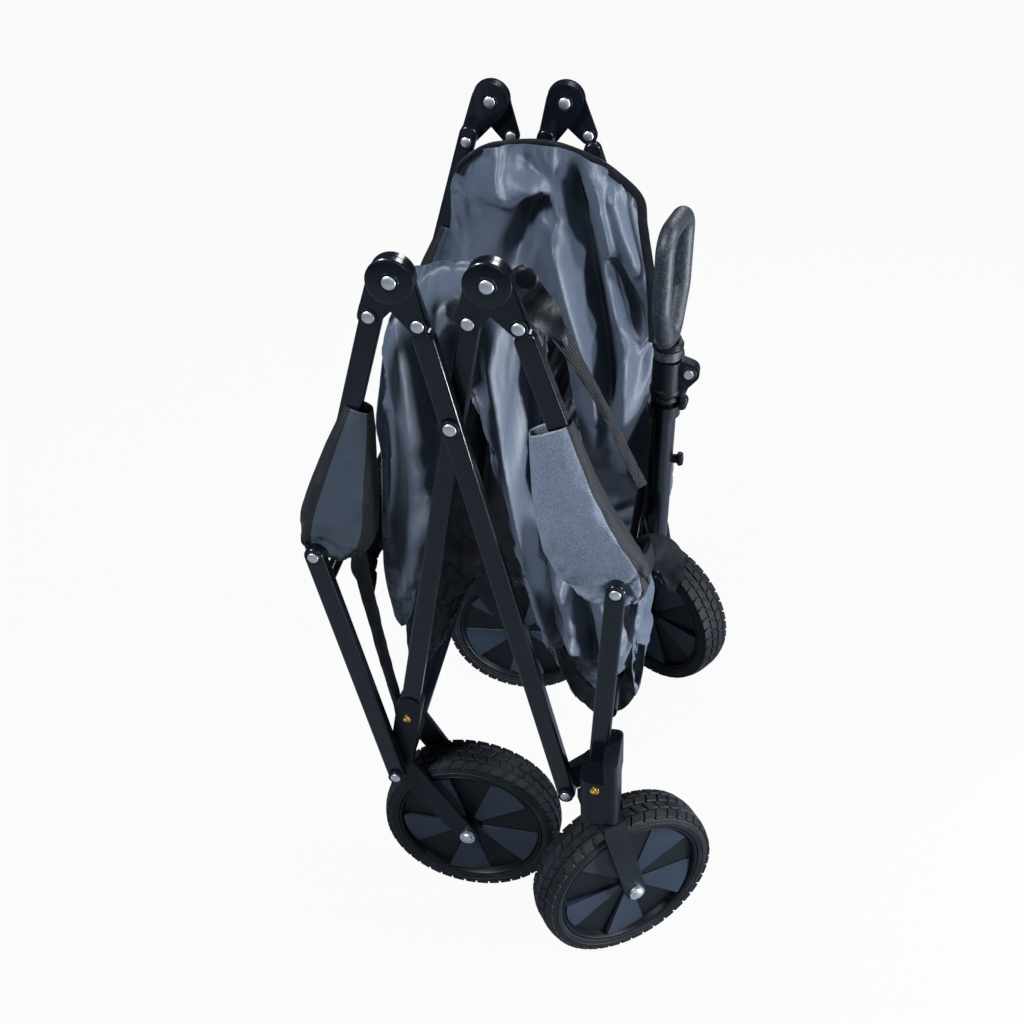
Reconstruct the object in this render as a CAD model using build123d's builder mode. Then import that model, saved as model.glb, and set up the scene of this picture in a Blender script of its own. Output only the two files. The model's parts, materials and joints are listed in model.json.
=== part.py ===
"""Folding pull wagon, standing folded on its four wheels.

X runs from the rear wheels to the handle, +Y is the left side and +Z is up. The
origin is on the ground under the middle of the folded outline. Lengths along X are
counted from the crossing of the side bars. Millimetres and degrees.

Each side is a flat linkage. A diagonal bar runs from each upper hub to the far lower
corner; the two diagonals cross at a pivot. A short rail joins each hub to the top of
the end post on its own side. Sizes "out" are distances from the middle plane.
"""
from build123d import *
import os
from math import atan2, cos, degrees, hypot, radians, sin

os.makedirs("parts", exist_ok=True)

# Place of the crossing along the wagon
crossing_x = -45.0

# Linkage
lean = 11.6             # diagonal bars from upright, folded
lower_arm = 431.0       # lower corner pivot to the crossing
upper_arm = 134.0       # crossing to the hub, along the bar
hub_offset = 10.8       # hub pivot beside the diagonal's centre line
corner_height = 193.0   # lower corner pivots above the ground
post_height = 275.5     # lower corner pivot up to the rail pivot
post_splay = 49.5       # rail pivot outward of the lower corner pivot

# Bars, in three layers on each side
bar_width = 18.0
bar_depth = 12.0
bar_edge = 2.5
layer_inner = 173.0     # inner face of the inner layer
layer_gap = 5.0
pivot_bore = 4.3
pin_clearance = 0.3
pin_head_radius = 7.0
pin_head_depth = 2.5
seat_clearance = 0.2    # between pieces that are fixed to each other

# Hub knuckles
knuckle_radius = 18.5
knuckle_leg = 40.0      # hub pivot down to the leg's rivet
bar_setback = 33.0      # hub pivot down to the middle of an inner bar's round end
outer_setback = 55.0    # the same of a bar with its plate in front
tongue_depth = 6.2      # the plate behind
cheek_setback = 7.0     # the plate in front, from the inner face of its bar
cheek_rise = 2.0        # above the outer face of its bar

# Wheels
wheel_radius = 94.3
tyre_width = 42.0
tyre_height = 17.0
rim_wall = 3.5
web_depth = 9.0
wheel_hub_radius = 17.0
wheel_hub_width = 40.0
axle_radius = 5.0
axle_clearance = 0.4
rear_axle_x = -22.0
rear_wheel_out = 156.0

# Rear bracket and fork
fork_plate = 4.5
fork_gap = 3.5          # tyre to fork plate
bracket_wall = 3.0
bracket_length = 84.0   # along the diagonal bar, from the corner pivot
cross_tube_radius = 10.0
rear_bar_radius = 6.0

# Front housing and casters
swivel_x = 124.0
swivel_out = 222.0
crown_height = 194.0
crown_depth = 12.0
housing_length = 36.0
housing_depth = 46.0
tab_radius = 12.0
fork_arm_width = 22.0
housing_bottom = 208.0
housing_top = 262.0
housing_back_top = 286.0
post_socket_bottom = 238.0
caster_trail = 24.0
caster_yaw = 35.0
swivel_pin_radius = 7.0
swivel_clearance = 0.3

# Handle
handle_x = 150.0        # at the height of its pivot
handle_lean = 1.9       # the handle's axis from upright, ahead at the top
grip_turn = 12.0        # of the loop in its clamp, about the handle's axis
handle_pivot_x = 153.0
handle_pivot_z = 318.0
crossbar_x = 128.0
crossbar_radius = 9.0
ear_gap = 27.0
ear_depth = 5.0
ear_radius = 14.0
stem_outer = 12.0
stem_top = 528.0
stem_bottom = 300.0
inner_stem = 9.4
slide_clearance = 0.3
inner_stem_bottom = 335.0
grip_base = 577.0
grip_top = 717.0
grip_width = 62.0
grip_radius = 8.5
grip_taper = 64.0       # height over which the loop narrows down to its neck
grip_corner = 18.0
clamp_bottom = 541.0
clamp_height = 33.0
lug_height = 563.0

# Cloth
wall_depth = 20.0
wall_length = 150.0
wall_bottom = 435.0
wall_top = 725.0
floor_bottom = 360.0
floor_top = 455.0
end_wall_depth = 14.0
end_wall_bottom = 240.0
end_wall_half = 160.0
soft_clearance = 0.3    # between cloth and what carries it
sleeve_wall = 8.0
sleeve_clearance = 1.0

# --- worked out ---------------------------------------------------------------

corner_x = lower_arm * sin(radians(lean))
cross_z = corner_height + lower_arm * cos(radians(lean))
hub_x = -(upper_arm * sin(radians(lean)) + hub_offset * cos(radians(lean)))
hub_z = cross_z + upper_arm * cos(radians(lean)) - hub_offset * sin(radians(lean))
rail_x = -(corner_x + post_splay)
rail_z = corner_height + post_height
pin_radius = pivot_bore - pin_clearance
layer_middle = layer_inner + bar_depth + layer_gap
layer_outer = layer_middle + bar_depth + layer_gap


def toward(start, end, distance):
    """Point at a distance from start on the way to end, in X and Z."""
    length = hypot(end[0] - start[0], end[1] - start[1])
    share = distance / length
    return (start[0] + share * (end[0] - start[0]), start[1] + share * (end[1] - start[1]))


def facing(point):
    """The same place on the other end of the wagon."""
    return (-point[0], point[1])


def strip(start, end, width):
    """Round-ended strip between two points of the active sketch."""
    length = hypot(end[0] - start[0], end[1] - start[1])
    middle = ((start[0] + end[0]) / 2, (start[1] + end[1]) / 2)
    angle = degrees(atan2(end[1] - start[1], end[0] - start[0]))
    with Locations(middle):
        SlotCenterToCenter(length, width, rotation=angle)


def teardrop(hub, leg, width):
    """Plate of the active sketch around a hub, drawn out along a leg."""
    with Locations(hub):
        Circle(knuckle_radius)
    with Locations(leg):
        Circle(width / 2)
    make_hull()


def side_plane(out):
    """Plane of the right side, at a distance from the middle plane, facing outward."""
    return Plane(origin=(crossing_x, -out, 0), x_dir=(1, 0, 0), z_dir=(0, -1, 0))


def level_plane(height):
    """Level plane at a height, with its origin under the crossing."""
    return Plane(origin=(crossing_x, 0, height), x_dir=(1, 0, 0), z_dir=(0, 0, 1))


rear_corner = (-corner_x, corner_height)
front_corner = (corner_x, corner_height)
crossing = (0.0, cross_z)
rear_hub = (hub_x, hub_z)
front_hub = (-hub_x, hub_z)
rear_rail = (rail_x, rail_z)
front_rail = (-rail_x, rail_z)

# Diagonal of the outer layer: front lower corner, over the crossing, to the rear hub.
outer_diagonal_top = toward(front_corner, crossing, lower_arm + upper_arm - outer_setback)
inner_diagonal_top = toward(rear_corner, crossing, lower_arm + upper_arm - bar_setback)
outer_diagonal_leg = toward(front_corner, crossing, lower_arm + upper_arm - knuckle_leg)
# Rail beside the rear hub: its centre line also passes the hub at the hub offset.
rail_length = hypot(rear_hub[0] - rear_rail[0], rear_hub[1] - rear_rail[1])
rail_heading = atan2(rear_hub[1] - rear_rail[1], rear_hub[0] - rear_rail[0])
rail_heading = rail_heading + atan2(hub_offset, rail_length)
rail_top = (
    rear_rail[0] + (rail_length - bar_setback) * cos(rail_heading),
    rear_rail[1] + (rail_length - bar_setback) * sin(rail_heading),
)
outer_rail_top = (
    -rear_rail[0] - (rail_length - outer_setback) * cos(rail_heading),
    rear_rail[1] + (rail_length - outer_setback) * sin(rail_heading),
)
rail_leg = (
    rear_rail[0] + (rail_length - knuckle_leg) * cos(rail_heading),
    rear_rail[1] + (rail_length - knuckle_leg) * sin(rail_heading),
)


# --- diagonal bars --------------------------------------------------------------

with BuildPart() as diagonal_outer:
    with BuildSketch(side_plane(layer_middle)):
        strip(front_corner, outer_diagonal_top, bar_width)
    extrude(amount=bar_depth)
    fillet(diagonal_outer.faces().filter_by(Axis.Y).edges(), bar_edge)
    with BuildSketch(side_plane(layer_middle + cheek_setback)):
        teardrop(rear_hub, outer_diagonal_leg, bar_width)
    extrude(amount=bar_depth - cheek_setback)
    with BuildSketch(side_plane(layer_middle + bar_depth)):
        teardrop(rear_hub, outer_diagonal_leg, bar_width - 2 * bar_edge)
    extrude(amount=cheek_rise)
    with BuildSketch(side_plane(layer_middle)):
        with Locations(front_corner, crossing):
            Circle(pivot_bore)
    extrude(amount=bar_depth, mode=Mode.SUBTRACT)
    mirror(about=Plane.XZ)
diagonal_outer.part.label = "diagonal_outer"
export_step(diagonal_outer.part, "parts/diagonal_outer.step")

with BuildPart() as diagonal_inner:
    with BuildSketch(side_plane(layer_inner)):
        strip(rear_corner, inner_diagonal_top, bar_width)
    extrude(amount=bar_depth)
    fillet(diagonal_inner.faces().filter_by(Axis.Y).edges(), bar_edge)
    with BuildSketch(side_plane(layer_middle)):
        teardrop(front_hub, facing(outer_diagonal_leg), bar_width)
    extrude(amount=tongue_depth)
    with BuildSketch(side_plane(layer_inner + bar_depth / 2)):
        strip(inner_diagonal_top, facing(outer_diagonal_leg), bar_width)
    extrude(amount=bar_depth / 2 + layer_gap + tongue_depth)
    with BuildSketch(side_plane(layer_inner + bar_depth)):
        with Locations(crossing):
            Circle(pin_radius)
    extrude(amount=layer_gap + bar_depth + seat_clearance)
    with BuildSketch(side_plane(layer_middle + bar_depth + seat_clearance)):
        with Locations(crossing):
            Circle(pin_head_radius)
    extrude(amount=pin_head_depth)
    mirror(about=Plane.XZ)
diagonal_inner.part.label = "diagonal_inner"
export_step(diagonal_inner.part, "parts/diagonal_inner.step")

# --- rails ------------------------------------------------------------------------
# The rear rail lies in the inner layer and turns on the rear post; a block on its leg
# brings its knuckle out to the back of the outer diagonal's. The front rail lies in the
# middle layer, over the inner diagonal's knuckle, and turns on the front post.

with BuildPart() as rail_rear:
    with BuildSketch(side_plane(layer_inner)):
        strip(rear_rail, rail_top, bar_width)
    extrude(amount=bar_depth)
    fillet(rail_rear.faces().filter_by(Axis.Y).edges(), bar_edge)
    with BuildSketch(side_plane(layer_middle)):
        teardrop(rear_hub, rail_leg, bar_width)
    extrude(amount=tongue_depth)
    with BuildSketch(side_plane(layer_inner + bar_depth / 2)):
        strip(rail_top, rail_leg, bar_width)
    extrude(amount=bar_depth / 2 + layer_gap + tongue_depth)
    with BuildSketch(side_plane(layer_inner)):
        with Locations(rear_rail):
            Circle(pivot_bore)
    extrude(amount=bar_depth, mode=Mode.SUBTRACT)
    mirror(about=Plane.XZ)
rail_rear.part.label = "rail_rear"
export_step(rail_rear.part, "parts/rail_rear.step")

with BuildPart() as rail_front:
    with BuildSketch(side_plane(layer_middle)):
        strip(front_rail, outer_rail_top, bar_width)
    extrude(amount=bar_depth)
    fillet(rail_front.faces().filter_by(Axis.Y).edges(), bar_edge)
    with BuildSketch(side_plane(layer_middle + cheek_setback)):
        teardrop(front_hub, facing(rail_leg), bar_width)
    extrude(amount=bar_depth - cheek_setback)
    with BuildSketch(side_plane(layer_middle + bar_depth)):
        teardrop(front_hub, facing(rail_leg), bar_width - 2 * bar_edge)
    extrude(amount=cheek_rise)
    with BuildSketch(side_plane(layer_middle)):
        with Locations(front_rail):
            Circle(pivot_bore)
    extrude(amount=bar_depth, mode=Mode.SUBTRACT)
    mirror(about=Plane.XZ)
rail_front.part.label = "rail_front"
export_step(rail_front.part, "parts/rail_front.step")

# --- rear end: posts, bar across, brackets, forks, axles ---------------------------

with BuildPart() as posts_rear:
    with BuildSketch(side_plane(layer_middle)):
        strip(rear_corner, rear_rail, bar_width)
    extrude(amount=bar_depth)
    fillet(posts_rear.faces().filter_by(Axis.Y).edges(), bar_edge)
    with BuildSketch(side_plane(layer_middle)):
        with Locations(rear_corner):
            Circle(pivot_bore)
    extrude(amount=bar_depth, mode=Mode.SUBTRACT)
    # The rail turns on this pin, with its head on the inner side.
    with BuildSketch(side_plane(layer_middle)):
        with Locations(rear_rail):
            Circle(pin_radius)
    extrude(amount=-(layer_gap + bar_depth + seat_clearance))
    with BuildSketch(side_plane(layer_inner - seat_clearance)):
        with Locations(rear_rail):
            Circle(pin_head_radius)
    extrude(amount=-pin_head_depth)
    mirror(about=Plane.XZ)
posts_rear.part.label = "posts_rear"
export_step(posts_rear.part, "parts/posts_rear.step")

rear_bar_place = toward(rear_rail, rear_corner, 34.0)
with BuildPart() as crossbar_rear:
    with BuildSketch(side_plane(-layer_middle)):
        with Locations(rear_bar_place):
            Circle(rear_bar_radius)
    extrude(amount=2 * layer_middle)
crossbar_rear.part.label = "crossbar_rear"
export_step(crossbar_rear.part, "parts/crossbar_rear.step")

bracket_inner = layer_inner - bracket_wall - seat_clearance
bracket_outer = layer_inner + bar_depth + seat_clearance + 2.0
fork_outer_face = bracket_outer
rear_axle = (rear_axle_x, wheel_radius)
fork_inner_out = rear_wheel_out - tyre_width / 2 - fork_gap - fork_plate
bracket_top = toward(rear_corner, crossing, bracket_length)
crown_place = (rear_corner[0] + 4.0, rear_corner[1] + 12.0)

with BuildPart() as bracket_rear:
    # Block around the foot of the inner diagonal.
    with BuildSketch(side_plane(bracket_inner)):
        strip(rear_corner, bracket_top, bar_width + 2 * bracket_wall + 2 * seat_clearance)
    extrude(amount=bracket_outer - bracket_inner)
    # Outer fork plate, from the corner pivot to the axle.
    with BuildSketch(side_plane(fork_outer_face - fork_plate)):
        with Locations(rear_corner):
            Circle(15.0)
        with Locations(rear_axle):
            Circle(11.0)
        make_hull()
    extrude(amount=fork_plate)
    # Inner fork plate and the crown that carries it over the tyre.
    with BuildSketch(side_plane(fork_inner_out)):
        with Locations(crown_place):
            Circle(14.0)
        with Locations(rear_axle):
            Circle(11.0)
        make_hull()
    extrude(amount=fork_plate)
    with BuildSketch(side_plane(fork_inner_out)):
        with Locations(crown_place):
            Circle(11.0)
    extrude(amount=bracket_inner - fork_inner_out + bracket_wall)
    # Socket that takes the diagonal bar.
    with BuildSketch(side_plane(layer_inner - seat_clearance)):
        strip(rear_corner, toward(rear_corner, crossing, 2 * bracket_length), bar_width + 2 * seat_clearance)
    extrude(amount=bar_depth + 2 * seat_clearance, mode=Mode.SUBTRACT)
    # Corner pin, through the post.
    with BuildSketch(side_plane(bracket_outer)):
        with Locations(rear_corner):
            Circle(pin_radius)
    extrude(amount=layer_outer - layer_gap + seat_clearance - bracket_outer)
    with BuildSketch(side_plane(layer_outer - layer_gap + seat_clearance)):
        with Locations(rear_corner):
            Circle(pin_head_radius)
    extrude(amount=pin_head_depth)
    # Axle holes.
    with BuildSketch(side_plane(fork_inner_out - 1.0)):
        with Locations(rear_axle):
            Circle(axle_radius + seat_clearance)
    extrude(amount=fork_outer_face - fork_inner_out + 2.0, mode=Mode.SUBTRACT)
    mirror(about=Plane.XZ)
bracket_rear.part.label = "bracket_rear"
export_step(bracket_rear.part, "parts/bracket_rear.step")

with BuildPart() as cross_tube:
    with BuildSketch(side_plane(-(fork_inner_out - seat_clearance))):
        with Locations(crown_place):
            Circle(cross_tube_radius)
    extrude(amount=2 * (fork_inner_out - seat_clearance))
cross_tube.part.label = "cross_tube"
export_step(cross_tube.part, "parts/cross_tube.step")

with BuildPart() as axles_rear:
    with BuildSketch(side_plane(fork_inner_out - 2.0)):
        with Locations(rear_axle):
            Circle(axle_radius)
    extrude(amount=fork_outer_face - fork_inner_out + 2.0 + seat_clearance)
    with BuildSketch(side_plane(fork_outer_face + seat_clearance)):
        with Locations(rear_axle):
            Circle(axle_radius + 3.0)
    extrude(amount=3.0)
    with BuildSketch(side_plane(fork_inner_out - seat_clearance)):
        with Locations(rear_axle):
            Circle(axle_radius + 3.0)
    extrude(amount=-3.0)
    mirror(about=Plane.XZ)
axles_rear.part.label = "axles_rear"
export_step(axles_rear.part, "parts/axles_rear.step")

# --- wheels -------------------------------------------------------------------------

rim_radius = wheel_radius - tyre_height
wheel_half = wheel_hub_width / 2
rear_wheel_x = crossing_x + rear_axle_x
rear_left = Plane(
    origin=(rear_wheel_x, rear_wheel_out, wheel_radius),
    x_dir=(-1, 0, 0),
    z_dir=(0, 1, 0),
)
rear_right = Plane(
    origin=(rear_wheel_x, -rear_wheel_out, wheel_radius),
    x_dir=(1, 0, 0),
    z_dir=(0, -1, 0),
)

yaw = radians(caster_yaw)
caster_x = crossing_x + swivel_x + caster_trail * cos(yaw)
front_left = Plane(
    origin=(caster_x, swivel_out - caster_trail * sin(yaw), wheel_radius),
    x_dir=(-cos(yaw), sin(yaw), 0),
    z_dir=(sin(yaw), cos(yaw), 0),
)
front_right = Plane(
    origin=(caster_x, -swivel_out + caster_trail * sin(yaw), wheel_radius),
    x_dir=(cos(yaw), sin(yaw), 0),
    z_dir=(sin(yaw), -cos(yaw), 0),
)
wheel_places = {
    "rear_left": rear_left,
    "rear_right": rear_right,
    "front_left": front_left,
    "front_right": front_right,
}

for place, plane in wheel_places.items():
    # Disc wheel: hub, web and rim, turned about the axle.
    with BuildPart() as wheel:
        with BuildSketch(plane.offset(-wheel_half)):
            Circle(wheel_hub_radius)
        extrude(amount=wheel_hub_width)
        with BuildSketch(plane.offset(-web_depth / 2)):
            Circle(rim_radius - rim_wall / 2)
        extrude(amount=web_depth)
        with BuildSketch(plane.offset(-tyre_width / 2 + 4.0)):
            Circle(rim_radius)
            Circle(rim_radius - rim_wall, mode=Mode.SUBTRACT)
        extrude(amount=tyre_width - 8.0)
        with BuildSketch(plane.offset(-wheel_half)):
            Circle(axle_radius + axle_clearance)
        extrude(amount=wheel_hub_width, mode=Mode.SUBTRACT)
    wheel.part.label = f"wheel_{place}"
    export_step(wheel.part, f"parts/wheel_{place}.step")

    with BuildPart() as tyre:
        with BuildSketch(plane.offset(-tyre_width / 2)):
            Circle(wheel_radius)
            Circle(rim_radius + seat_clearance, mode=Mode.SUBTRACT)
        extrude(amount=tyre_width)
        fillet(tyre.edges().filter_by(GeomType.CIRCLE).group_by(SortBy.RADIUS)[-1], 7.0)
    tyre.part.label = f"tyre_{place}"
    export_step(tyre.part, f"parts/tyre_{place}.step")

# --- front end: posts, bar across, housings, casters --------------------------------

post_foot = (swivel_x - 5.0, post_socket_bottom)

with BuildPart() as posts_front:
    with BuildSketch(side_plane(layer_outer)):
        strip(post_foot, front_rail, bar_width)
    extrude(amount=bar_depth)
    fillet(posts_front.faces().filter_by(Axis.Y).edges(), bar_edge)
    with BuildSketch(side_plane(layer_outer)):
        with Locations(front_rail):
            Circle(pin_radius)
    extrude(amount=-(layer_gap + bar_depth + seat_clearance))
    with BuildSketch(side_plane(layer_middle - seat_clearance)):
        with Locations(front_rail):
            Circle(pin_head_radius)
    extrude(amount=-pin_head_depth)
    mirror(about=Plane.XZ)
posts_front.part.label = "posts_front"
export_step(posts_front.part, "parts/posts_front.step")

crossbar_place = (crossbar_x, handle_pivot_z)
crossbar_end = layer_outer - seat_clearance
with BuildPart() as crossbar_front:
    with BuildSketch(side_plane(-crossbar_end)):
        with Locations(crossbar_place):
            Circle(crossbar_radius)
    extrude(amount=2 * crossbar_end)
crossbar_front.part.label = "crossbar_front"
export_step(crossbar_front.part, "parts/crossbar_front.step")

tab_outer = layer_inner + bar_depth
with BuildPart() as housing_front:
    with BuildSketch(level_plane(housing_bottom)):
        with Locations((swivel_x, -swivel_out - 2.0)):
            RectangleRounded(housing_length, housing_depth, 12.0)
    extrude(amount=housing_top - housing_bottom)
    with BuildSketch(level_plane(housing_bottom)):
        with Locations((swivel_x + housing_length / 2 - 7.0, -swivel_out - 2.0)):
            RectangleRounded(14.0, housing_depth, 5.0)
    extrude(amount=housing_back_top - housing_bottom)
    # Web from the block to the tab behind the foot of the outer diagonal.
    with BuildSketch(side_plane(layer_inner)):
        with Locations((swivel_x + 2.0, (housing_bottom + housing_top) / 2 + 2.0)):
            RectangleRounded(28.0, housing_top - housing_bottom - 6.0, 6.0)
    extrude(amount=swivel_out - layer_inner - 10.0)
    with BuildSketch(side_plane(layer_inner)):
        with Locations(front_corner):
            Circle(tab_radius)
        with Locations((swivel_x, housing_bottom + 18.0)):
            Circle(14.0)
        make_hull()
    extrude(amount=tab_outer - layer_inner)
    with BuildSketch(side_plane(tab_outer)):
        with Locations(front_corner):
            Circle(pin_radius)
    extrude(amount=layer_middle + bar_depth + seat_clearance - tab_outer)
    with BuildSketch(side_plane(layer_middle + bar_depth + seat_clearance)):
        with Locations(front_corner):
            Circle(pin_head_radius)
    extrude(amount=pin_head_depth)
    # Socket for the post.
    with BuildSketch(side_plane(layer_outer - seat_clearance)):
        strip(post_foot, front_rail, bar_width + 2 * seat_clearance)
    extrude(amount=bar_depth + 2 * seat_clearance, mode=Mode.SUBTRACT)
    # Bore for the swivel pin.
    with BuildSketch(level_plane(housing_bottom)):
        with Locations((swivel_x, -swivel_out)):
            Circle(swivel_pin_radius + swivel_clearance)
    extrude(amount=18.0, mode=Mode.SUBTRACT)
    mirror(about=Plane.XZ)
housing_front.part.label = "housing_front"
export_step(housing_front.part, "parts/housing_front.step")

caster_places = {"left": front_left, "right": front_right}
caster_inner_face = tyre_width / 2 + fork_gap
crown_reach = caster_inner_face + fork_plate
arm_top = crown_height + crown_depth - wheel_radius
for side, plane in caster_places.items():
    sign = 1 if side == "left" else -1
    stem_place = (swivel_x, sign * swivel_out)
    with BuildPart() as fork:
        # Round crown over the tyre, with the swivel pin.
        with BuildSketch(level_plane(crown_height)):
            with Locations(stem_place):
                Circle(17.0)
        extrude(amount=crown_depth)
        with BuildSketch(level_plane(crown_height + crown_depth)):
            with Locations(stem_place):
                Circle(swivel_pin_radius)
        extrude(amount=16.0)
        # Arms on both sides of the wheel, joined across the top.
        with BuildSketch(plane.offset(-crown_reach)):
            Circle(11.0)
            with Locations((sign * caster_trail, arm_top - crown_depth / 2)):
                Rectangle(fork_arm_width, crown_depth)
            make_hull()
        extrude(amount=2 * crown_reach)
        with BuildSketch(plane.offset(-caster_inner_face)):
            with Locations((0, arm_top - crown_depth - 150.0)):
                Rectangle(200.0, 300.0)
        extrude(amount=2 * caster_inner_face, mode=Mode.SUBTRACT)
        with BuildSketch(plane.offset(-crown_reach - 1.0)):
            Circle(axle_radius + seat_clearance)
        extrude(amount=2 * (crown_reach + 1.0), mode=Mode.SUBTRACT)
    fork.part.label = f"fork_{side}"
    export_step(fork.part, f"parts/fork_{side}.step")

    with BuildPart() as axle:
        half = caster_inner_face + fork_plate + seat_clearance
        with BuildSketch(plane.offset(-half)):
            Circle(axle_radius)
        extrude(amount=2 * half)
        with BuildSketch(plane.offset(half), plane.offset(-half - 3.0)):
            Circle(axle_radius + 3.0)
        extrude(amount=3.0)
    axle.part.label = f"axle_front_{side}"
    export_step(axle.part, f"parts/axle_front_{side}.step")

# --- handle --------------------------------------------------------------------------

pivot_place = (handle_pivot_x, handle_pivot_z)
tilt_axis = Axis((crossing_x + handle_pivot_x, 0, handle_pivot_z), (0, 1, 0))
ear_inner = ear_gap / 2
with BuildPart() as handle_bracket:
    for face in (ear_inner, -ear_inner - ear_depth):
        with BuildSketch(side_plane(face)):
            with Locations(crossbar_place):
                Circle(ear_radius)
            with Locations(pivot_place):
                Circle(9.0)
            make_hull()
            with Locations(crossbar_place):
                Circle(crossbar_radius + seat_clearance, mode=Mode.SUBTRACT)
        extrude(amount=ear_depth)
    with BuildSketch(side_plane(-ear_inner - ear_depth - 2.0)):
        with Locations(pivot_place):
            Circle(pin_radius)
    extrude(amount=2 * (ear_inner + ear_depth + 2.0))
handle_bracket.part.label = "handle_bracket"
export_step(handle_bracket.part, "parts/handle_bracket.step")

with BuildPart() as handle_stem:
    # Eye on the pivot, offset ahead to the tube.
    with BuildSketch(side_plane(-(ear_inner - 1.0))):
        with Locations(pivot_place):
            Circle(11.0)
        with Locations((handle_x, stem_bottom + 16.0)):
            Circle(12.0)
        make_hull()
    extrude(amount=2 * (ear_inner - 1.0))
    with BuildSketch(level_plane(stem_bottom + 16.0)):
        with Locations((handle_x, 0)):
            Circle(stem_outer)
    extrude(amount=stem_top - stem_bottom - 16.0)
    with BuildSketch(level_plane(stem_top - 12.0)):
        with Locations((handle_x, 0)):
            Circle(stem_outer + 3.5)
    extrude(amount=12.0)
    with BuildSketch(level_plane(inner_stem_bottom - 5.0)):
        with Locations((handle_x, 0)):
            Circle(inner_stem + slide_clearance)
    extrude(amount=stem_top - inner_stem_bottom + 5.0, mode=Mode.SUBTRACT)
    with BuildSketch(side_plane(-ear_inner)):
        with Locations(pivot_place):
            Circle(pivot_bore)
    extrude(amount=2 * ear_inner, mode=Mode.SUBTRACT)
handle_stem_leaned = handle_stem.part.rotate(tilt_axis, handle_lean)
handle_stem_leaned.label = "handle_stem"
export_step(handle_stem_leaned, "parts/handle_stem.step")

with BuildPart() as handle_tube:
    with BuildSketch(level_plane(inner_stem_bottom)):
        with Locations((handle_x, 0)):
            Circle(inner_stem)
    extrude(amount=grip_base + 10.0 - inner_stem_bottom)
handle_tube_leaned = handle_tube.part.rotate(tilt_axis, handle_lean)
handle_tube_leaned.label = "handle_tube"
export_step(handle_tube_leaned, "parts/handle_tube.step")

with BuildPart() as handle_clamp:
    # Sleeve around the tube below the grip, with the lever lug ahead of it.
    with BuildSketch(level_plane(clamp_bottom)):
        with Locations((handle_x, 0)):
            Circle(inner_stem + 4.0)
            Circle(inner_stem + seat_clearance, mode=Mode.SUBTRACT)
    extrude(amount=clamp_height)
    with BuildSketch(side_plane(-6.0)):
        with Locations((handle_x + 21.0, lug_height)):
            Circle(10.0)
        with Locations((handle_x + 14.0, lug_height - 18.0)):
            Circle(4.0)
        with Locations((handle_x + 14.0, lug_height + 10.0)):
            Circle(3.0)
        make_hull()
    extrude(amount=12.0)
handle_clamp_leaned = handle_clamp.part.rotate(tilt_axis, handle_lean)
handle_clamp_leaned.label = "handle_clamp"
export_step(handle_clamp_leaned, "parts/handle_clamp.step")

with BuildPart() as handle_grip:
    with BuildSketch(level_plane(grip_base)):
        with Locations((handle_x, 0)):
            Circle(13.0)
            Circle(inner_stem + seat_clearance, mode=Mode.SUBTRACT)
    extrude(amount=14.0)
    loop_plane = Plane(
        origin=(crossing_x + handle_x, 0, 0),
        x_dir=(sin(radians(grip_turn)), cos(radians(grip_turn)), 0),
        z_dir=(cos(radians(grip_turn)), -sin(radians(grip_turn)), 0),
    )
    taper_length = hypot(grip_width / 2, grip_taper)
    corner_rise = grip_corner * (taper_length / (grip_width / 2) - 1)
    loop_bottom = grip_base + 14.0 + grip_radius - 3.0 - corner_rise
    loop_top = grip_top - grip_radius
    with BuildLine(loop_plane):
        loop = FilletPolyline(
            (grip_width / 2, loop_bottom + grip_taper),
            (grip_width / 2, loop_top),
            (-grip_width / 2, loop_top),
            (-grip_width / 2, loop_bottom + grip_taper),
            (0, loop_bottom),
            radius=grip_corner,
            close=True,
        )
    with BuildSketch(Plane(origin=loop @ 0, z_dir=loop % 0)):
        Circle(grip_radius)
    sweep(path=loop)
handle_grip_leaned = handle_grip.part.rotate(tilt_axis, handle_lean)
handle_grip_leaned.label = "handle_grip"
export_step(handle_grip_leaned, "parts/handle_grip.step")

# --- cloth ---------------------------------------------------------------------------
# Plain closed shapes for the folded cloth: side walls, floor fold, end walls, and the
# padded sleeves around the rails.

wall_out = layer_inner - sleeve_clearance - sleeve_wall - soft_clearance
with BuildPart() as cloth_walls:
    with BuildSketch(side_plane(wall_out - wall_depth)):
        with Locations((0, (wall_bottom + wall_top) / 2)):
            RectangleRounded(wall_length, wall_top - wall_bottom, 40.0)
    extrude(amount=wall_depth)
    mirror(about=Plane.XZ)
cloth_walls.part.label = "cloth_walls"
export_step(cloth_walls.part, "parts/cloth_walls.step")

floor_half = wall_out - wall_depth - soft_clearance
with BuildPart() as cloth_floor:
    with BuildSketch(side_plane(-floor_half)):
        with Locations((0, (floor_bottom + floor_top) / 2)):
            RectangleRounded(60.0, floor_top - floor_bottom, 8.0)
    extrude(amount=2 * floor_half)
cloth_floor.part.label = "cloth_floor"
export_step(cloth_floor.part, "parts/cloth_floor.step")

# The rear wall hangs ahead of the rear crossbar, along the posts.
post_lean = degrees(atan2(rear_rail[1] - rear_corner[1], rear_rail[0] - rear_corner[0]))
with BuildPart() as cloth_rear:
    with BuildSketch(side_plane(-end_wall_half)):
        with Locations(rear_bar_place):
            with Locations(Location((0, 0), post_lean - 90.0)):
                with Locations((rear_bar_radius + soft_clearance + end_wall_depth / 2, -88.0)):
                    RectangleRounded(end_wall_depth, 190.0, 6.0)
    extrude(amount=2 * end_wall_half)
cloth_rear.part.label = "cloth_rear"
export_step(cloth_rear.part, "parts/cloth_rear.step")

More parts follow.
